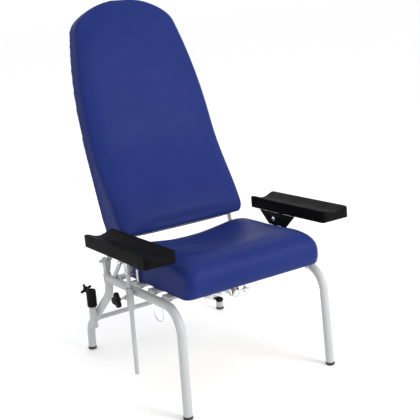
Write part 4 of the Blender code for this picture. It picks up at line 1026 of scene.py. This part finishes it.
def gas_spring():
    """Plated cylinder with its crimped end, knurled release drum and polished rod."""
    start, end = at(-0.035, -0.262, 0.3345), at(-0.035, 0.205, 0.3196)
    along = (end - start).normalized()
    drum = start - along * 0.013
    tube_start = drum + along * 0.034
    rod_start, rod_end = tube_start + along * 0.15, end - along * 0.0343
    knurl = [(0.0110, 0.0), (0.0140, 0.0020)]
    for i in range(9):
        rib = 0.0030 * i
        knurl += [(0.0140, 0.0035 + rib), (0.0134, 0.0045 + rib), (0.0140, 0.0055 + rib)]
    knurl += [(0.0140, 0.0325), (0.0128, 0.0337)]
    turned("spring_drum", knurl, drum, along, "zinc", "gas_cylinder", ("spring_head",))
    tube = [(0.0115, 0.0), (0.0130, 0.0012), (0.0130, 0.2660), (0.0121, 0.2685), (0.0121, 0.2705),
            (0.0130, 0.2730), (0.0130, 0.2800), (0.0110, 0.2838), (0.0070, 0.2850)]
    turned("spring_tube", tube, tube_start, along, "zinc", "gas_cylinder", ("spring_cylinder",))
    length = (rod_end - rod_start).length
    rod = [(0.0046, 0.0), (0.0050, 0.0005), (0.0050, length - 0.0005), (0.0046, length)]
    turned("spring_piston_rod", rod, rod_start, along, "chrome", "gas_rod", ("spring_rod",))


def staples():
    """Wire staples that hold the back's cover, in a row inside each edge of its rear face."""
    pitch, half_length, inset = 0.034, 0.005, 0.034
    curve = curve_data("board_staples_back", 0.00055, 2)
    inward = back_point(0, 0, 0.003) - back_point(0, 0, 0)
    rim = []
    for i in range(61):
        along = 0.050 + (BACK_LENGTH - 0.085) * i / 60
        rim.append(back_point(max(back_half_width(along + 0.012) - inset, 0.03), along, 0.0001))
    for left in (False, True):
        reach = 0.0
        for first, second in zip(rim, rim[1:]):
            reach += (second - first).length
            if reach < pitch:
                continue
            reach = 0.0
            if left:
                first, second = (Vector((-p.x, p.y, p.z)) for p in (first, second))
            step = (second - first).normalized() * half_length
            ends = [(first + second) / 2 - step, (first + second) / 2 + step]
            add_spline(curve, [ends[0] + inward, *ends, ends[1] + inward])
    add_piece(curve.name, curve, "chrome", "backrest")


def finish_cad_nodes():
    """Give every carried-over CAD node its material, smooth faces and softened edges."""
    for entry in frame["record"]["subparts"]:
        piece, slot = frame["nodes"][entry["node"]], entry["material_slot"]
        piece.data.materials.clear()
        piece.data.materials.append(MATERIALS[slot])
        piece.data.shade_smooth()
        weld = piece.modifiers.new("weld", "WELD")
        weld.merge_threshold = MERGE
        round_edges(piece, CAD_FINISH[slot], 3, 32)


# ---------------------------------------------------------------- stage
def floor():
    """Wide flat floor, nearly white, just under the feet."""
    mat = new_material("studio_floor", (FLOOR_ALBEDO,) * 3, 0.8)
    bm = bmesh.new()
    bmesh.ops.create_grid(bm, x_segments=1, y_segments=1, size=30.0)
    mesh = bpy.data.meshes.new("studio_floor")
    bm.to_mesh(mesh)
    bm.free()
    mesh.materials.append(mat)
    ground = bpy.data.objects.new("studio_floor", mesh)
    bpy.context.scene.collection.objects.link(ground)
    ground.location.z = -0.0005


def studio():
    """White surroundings and soft lights, with colours shown as they are."""
    world = bpy.data.worlds.new("studio")
    world.use_nodes = True
    background = world.node_tree.nodes["Background"]
    background.inputs["Color"].default_value = (1.0, 1.0, 1.0, 1.0)
    background.inputs["Strength"].default_value = WORLD_STRENGTH
    bpy.context.scene.world = world
    bpy.context.scene.view_settings.view_transform = "Standard"
    for name, place, aim, size, power in LIGHTS:
        light = bpy.data.lights.new(name, "AREA")
        light.shape = "DISK"
        light.size = size
        light.energy = power
        lamp = bpy.data.objects.new(name, light)
        bpy.context.scene.collection.objects.link(lamp)
        lamp.location = place
        lamp.rotation_mode = "QUATERNION"
        lamp.rotation_quaternion = (Vector(aim) - Vector(place)).to_track_quat("-Z", "Y")


def camera():
    """The camera looks at its target from an azimuth and elevation, and leans by its roll."""
    azimuth, elevation, roll = (math.radians(a) for a in (CAMERA_AZIMUTH, CAMERA_ELEVATION, CAMERA_ROLL))
    reach = math.cos(elevation)
    back = Vector((math.sin(azimuth) * reach, -math.cos(azimuth) * reach, math.sin(elevation)))
    right = (-back).cross(Vector((0, 0, 1))).normalized()
    up = right.cross(-back)
    across = math.cos(roll) * right + math.sin(roll) * up
    above = math.cos(roll) * up - math.sin(roll) * right
    data = bpy.data.cameras.new("camera")
    data.lens, data.sensor_width = CAMERA_LENS, CAMERA_SENSOR
    data.clip_start, data.clip_end = 0.05, 100.0
    eye = bpy.data.objects.new("camera", data)
    bpy.context.scene.collection.objects.link(eye)
    turn = Matrix((across, above, back)).transposed().to_4x4()
    eye.matrix_world = Matrix.Translation(CAMERA_TARGET + back * CAMERA_DISTANCE) @ turn
    bpy.context.scene.camera = eye


# ---------------------------------------------------------------- assembly
finish_cad_nodes()
for side_name, side_sign in SIDES.items():
    for make in (leg_tubes, feet, arm_posts, arm_gutter, gutter_inserts, clamp_knob):
        make(side_name, side_sign)
welds()
back_welds()
drip_sleeve()
drip_knob()
gas_spring()
upholster("seat_cover", seat_point, 60, seat_grip, "seat_cushion", "chair_frame", seat_seams())
upholster("back_cover", back_cushion_point, 70, back_grip, "back_cushion", "backrest", back_seam())
staples()
floor()
studio()
camera()
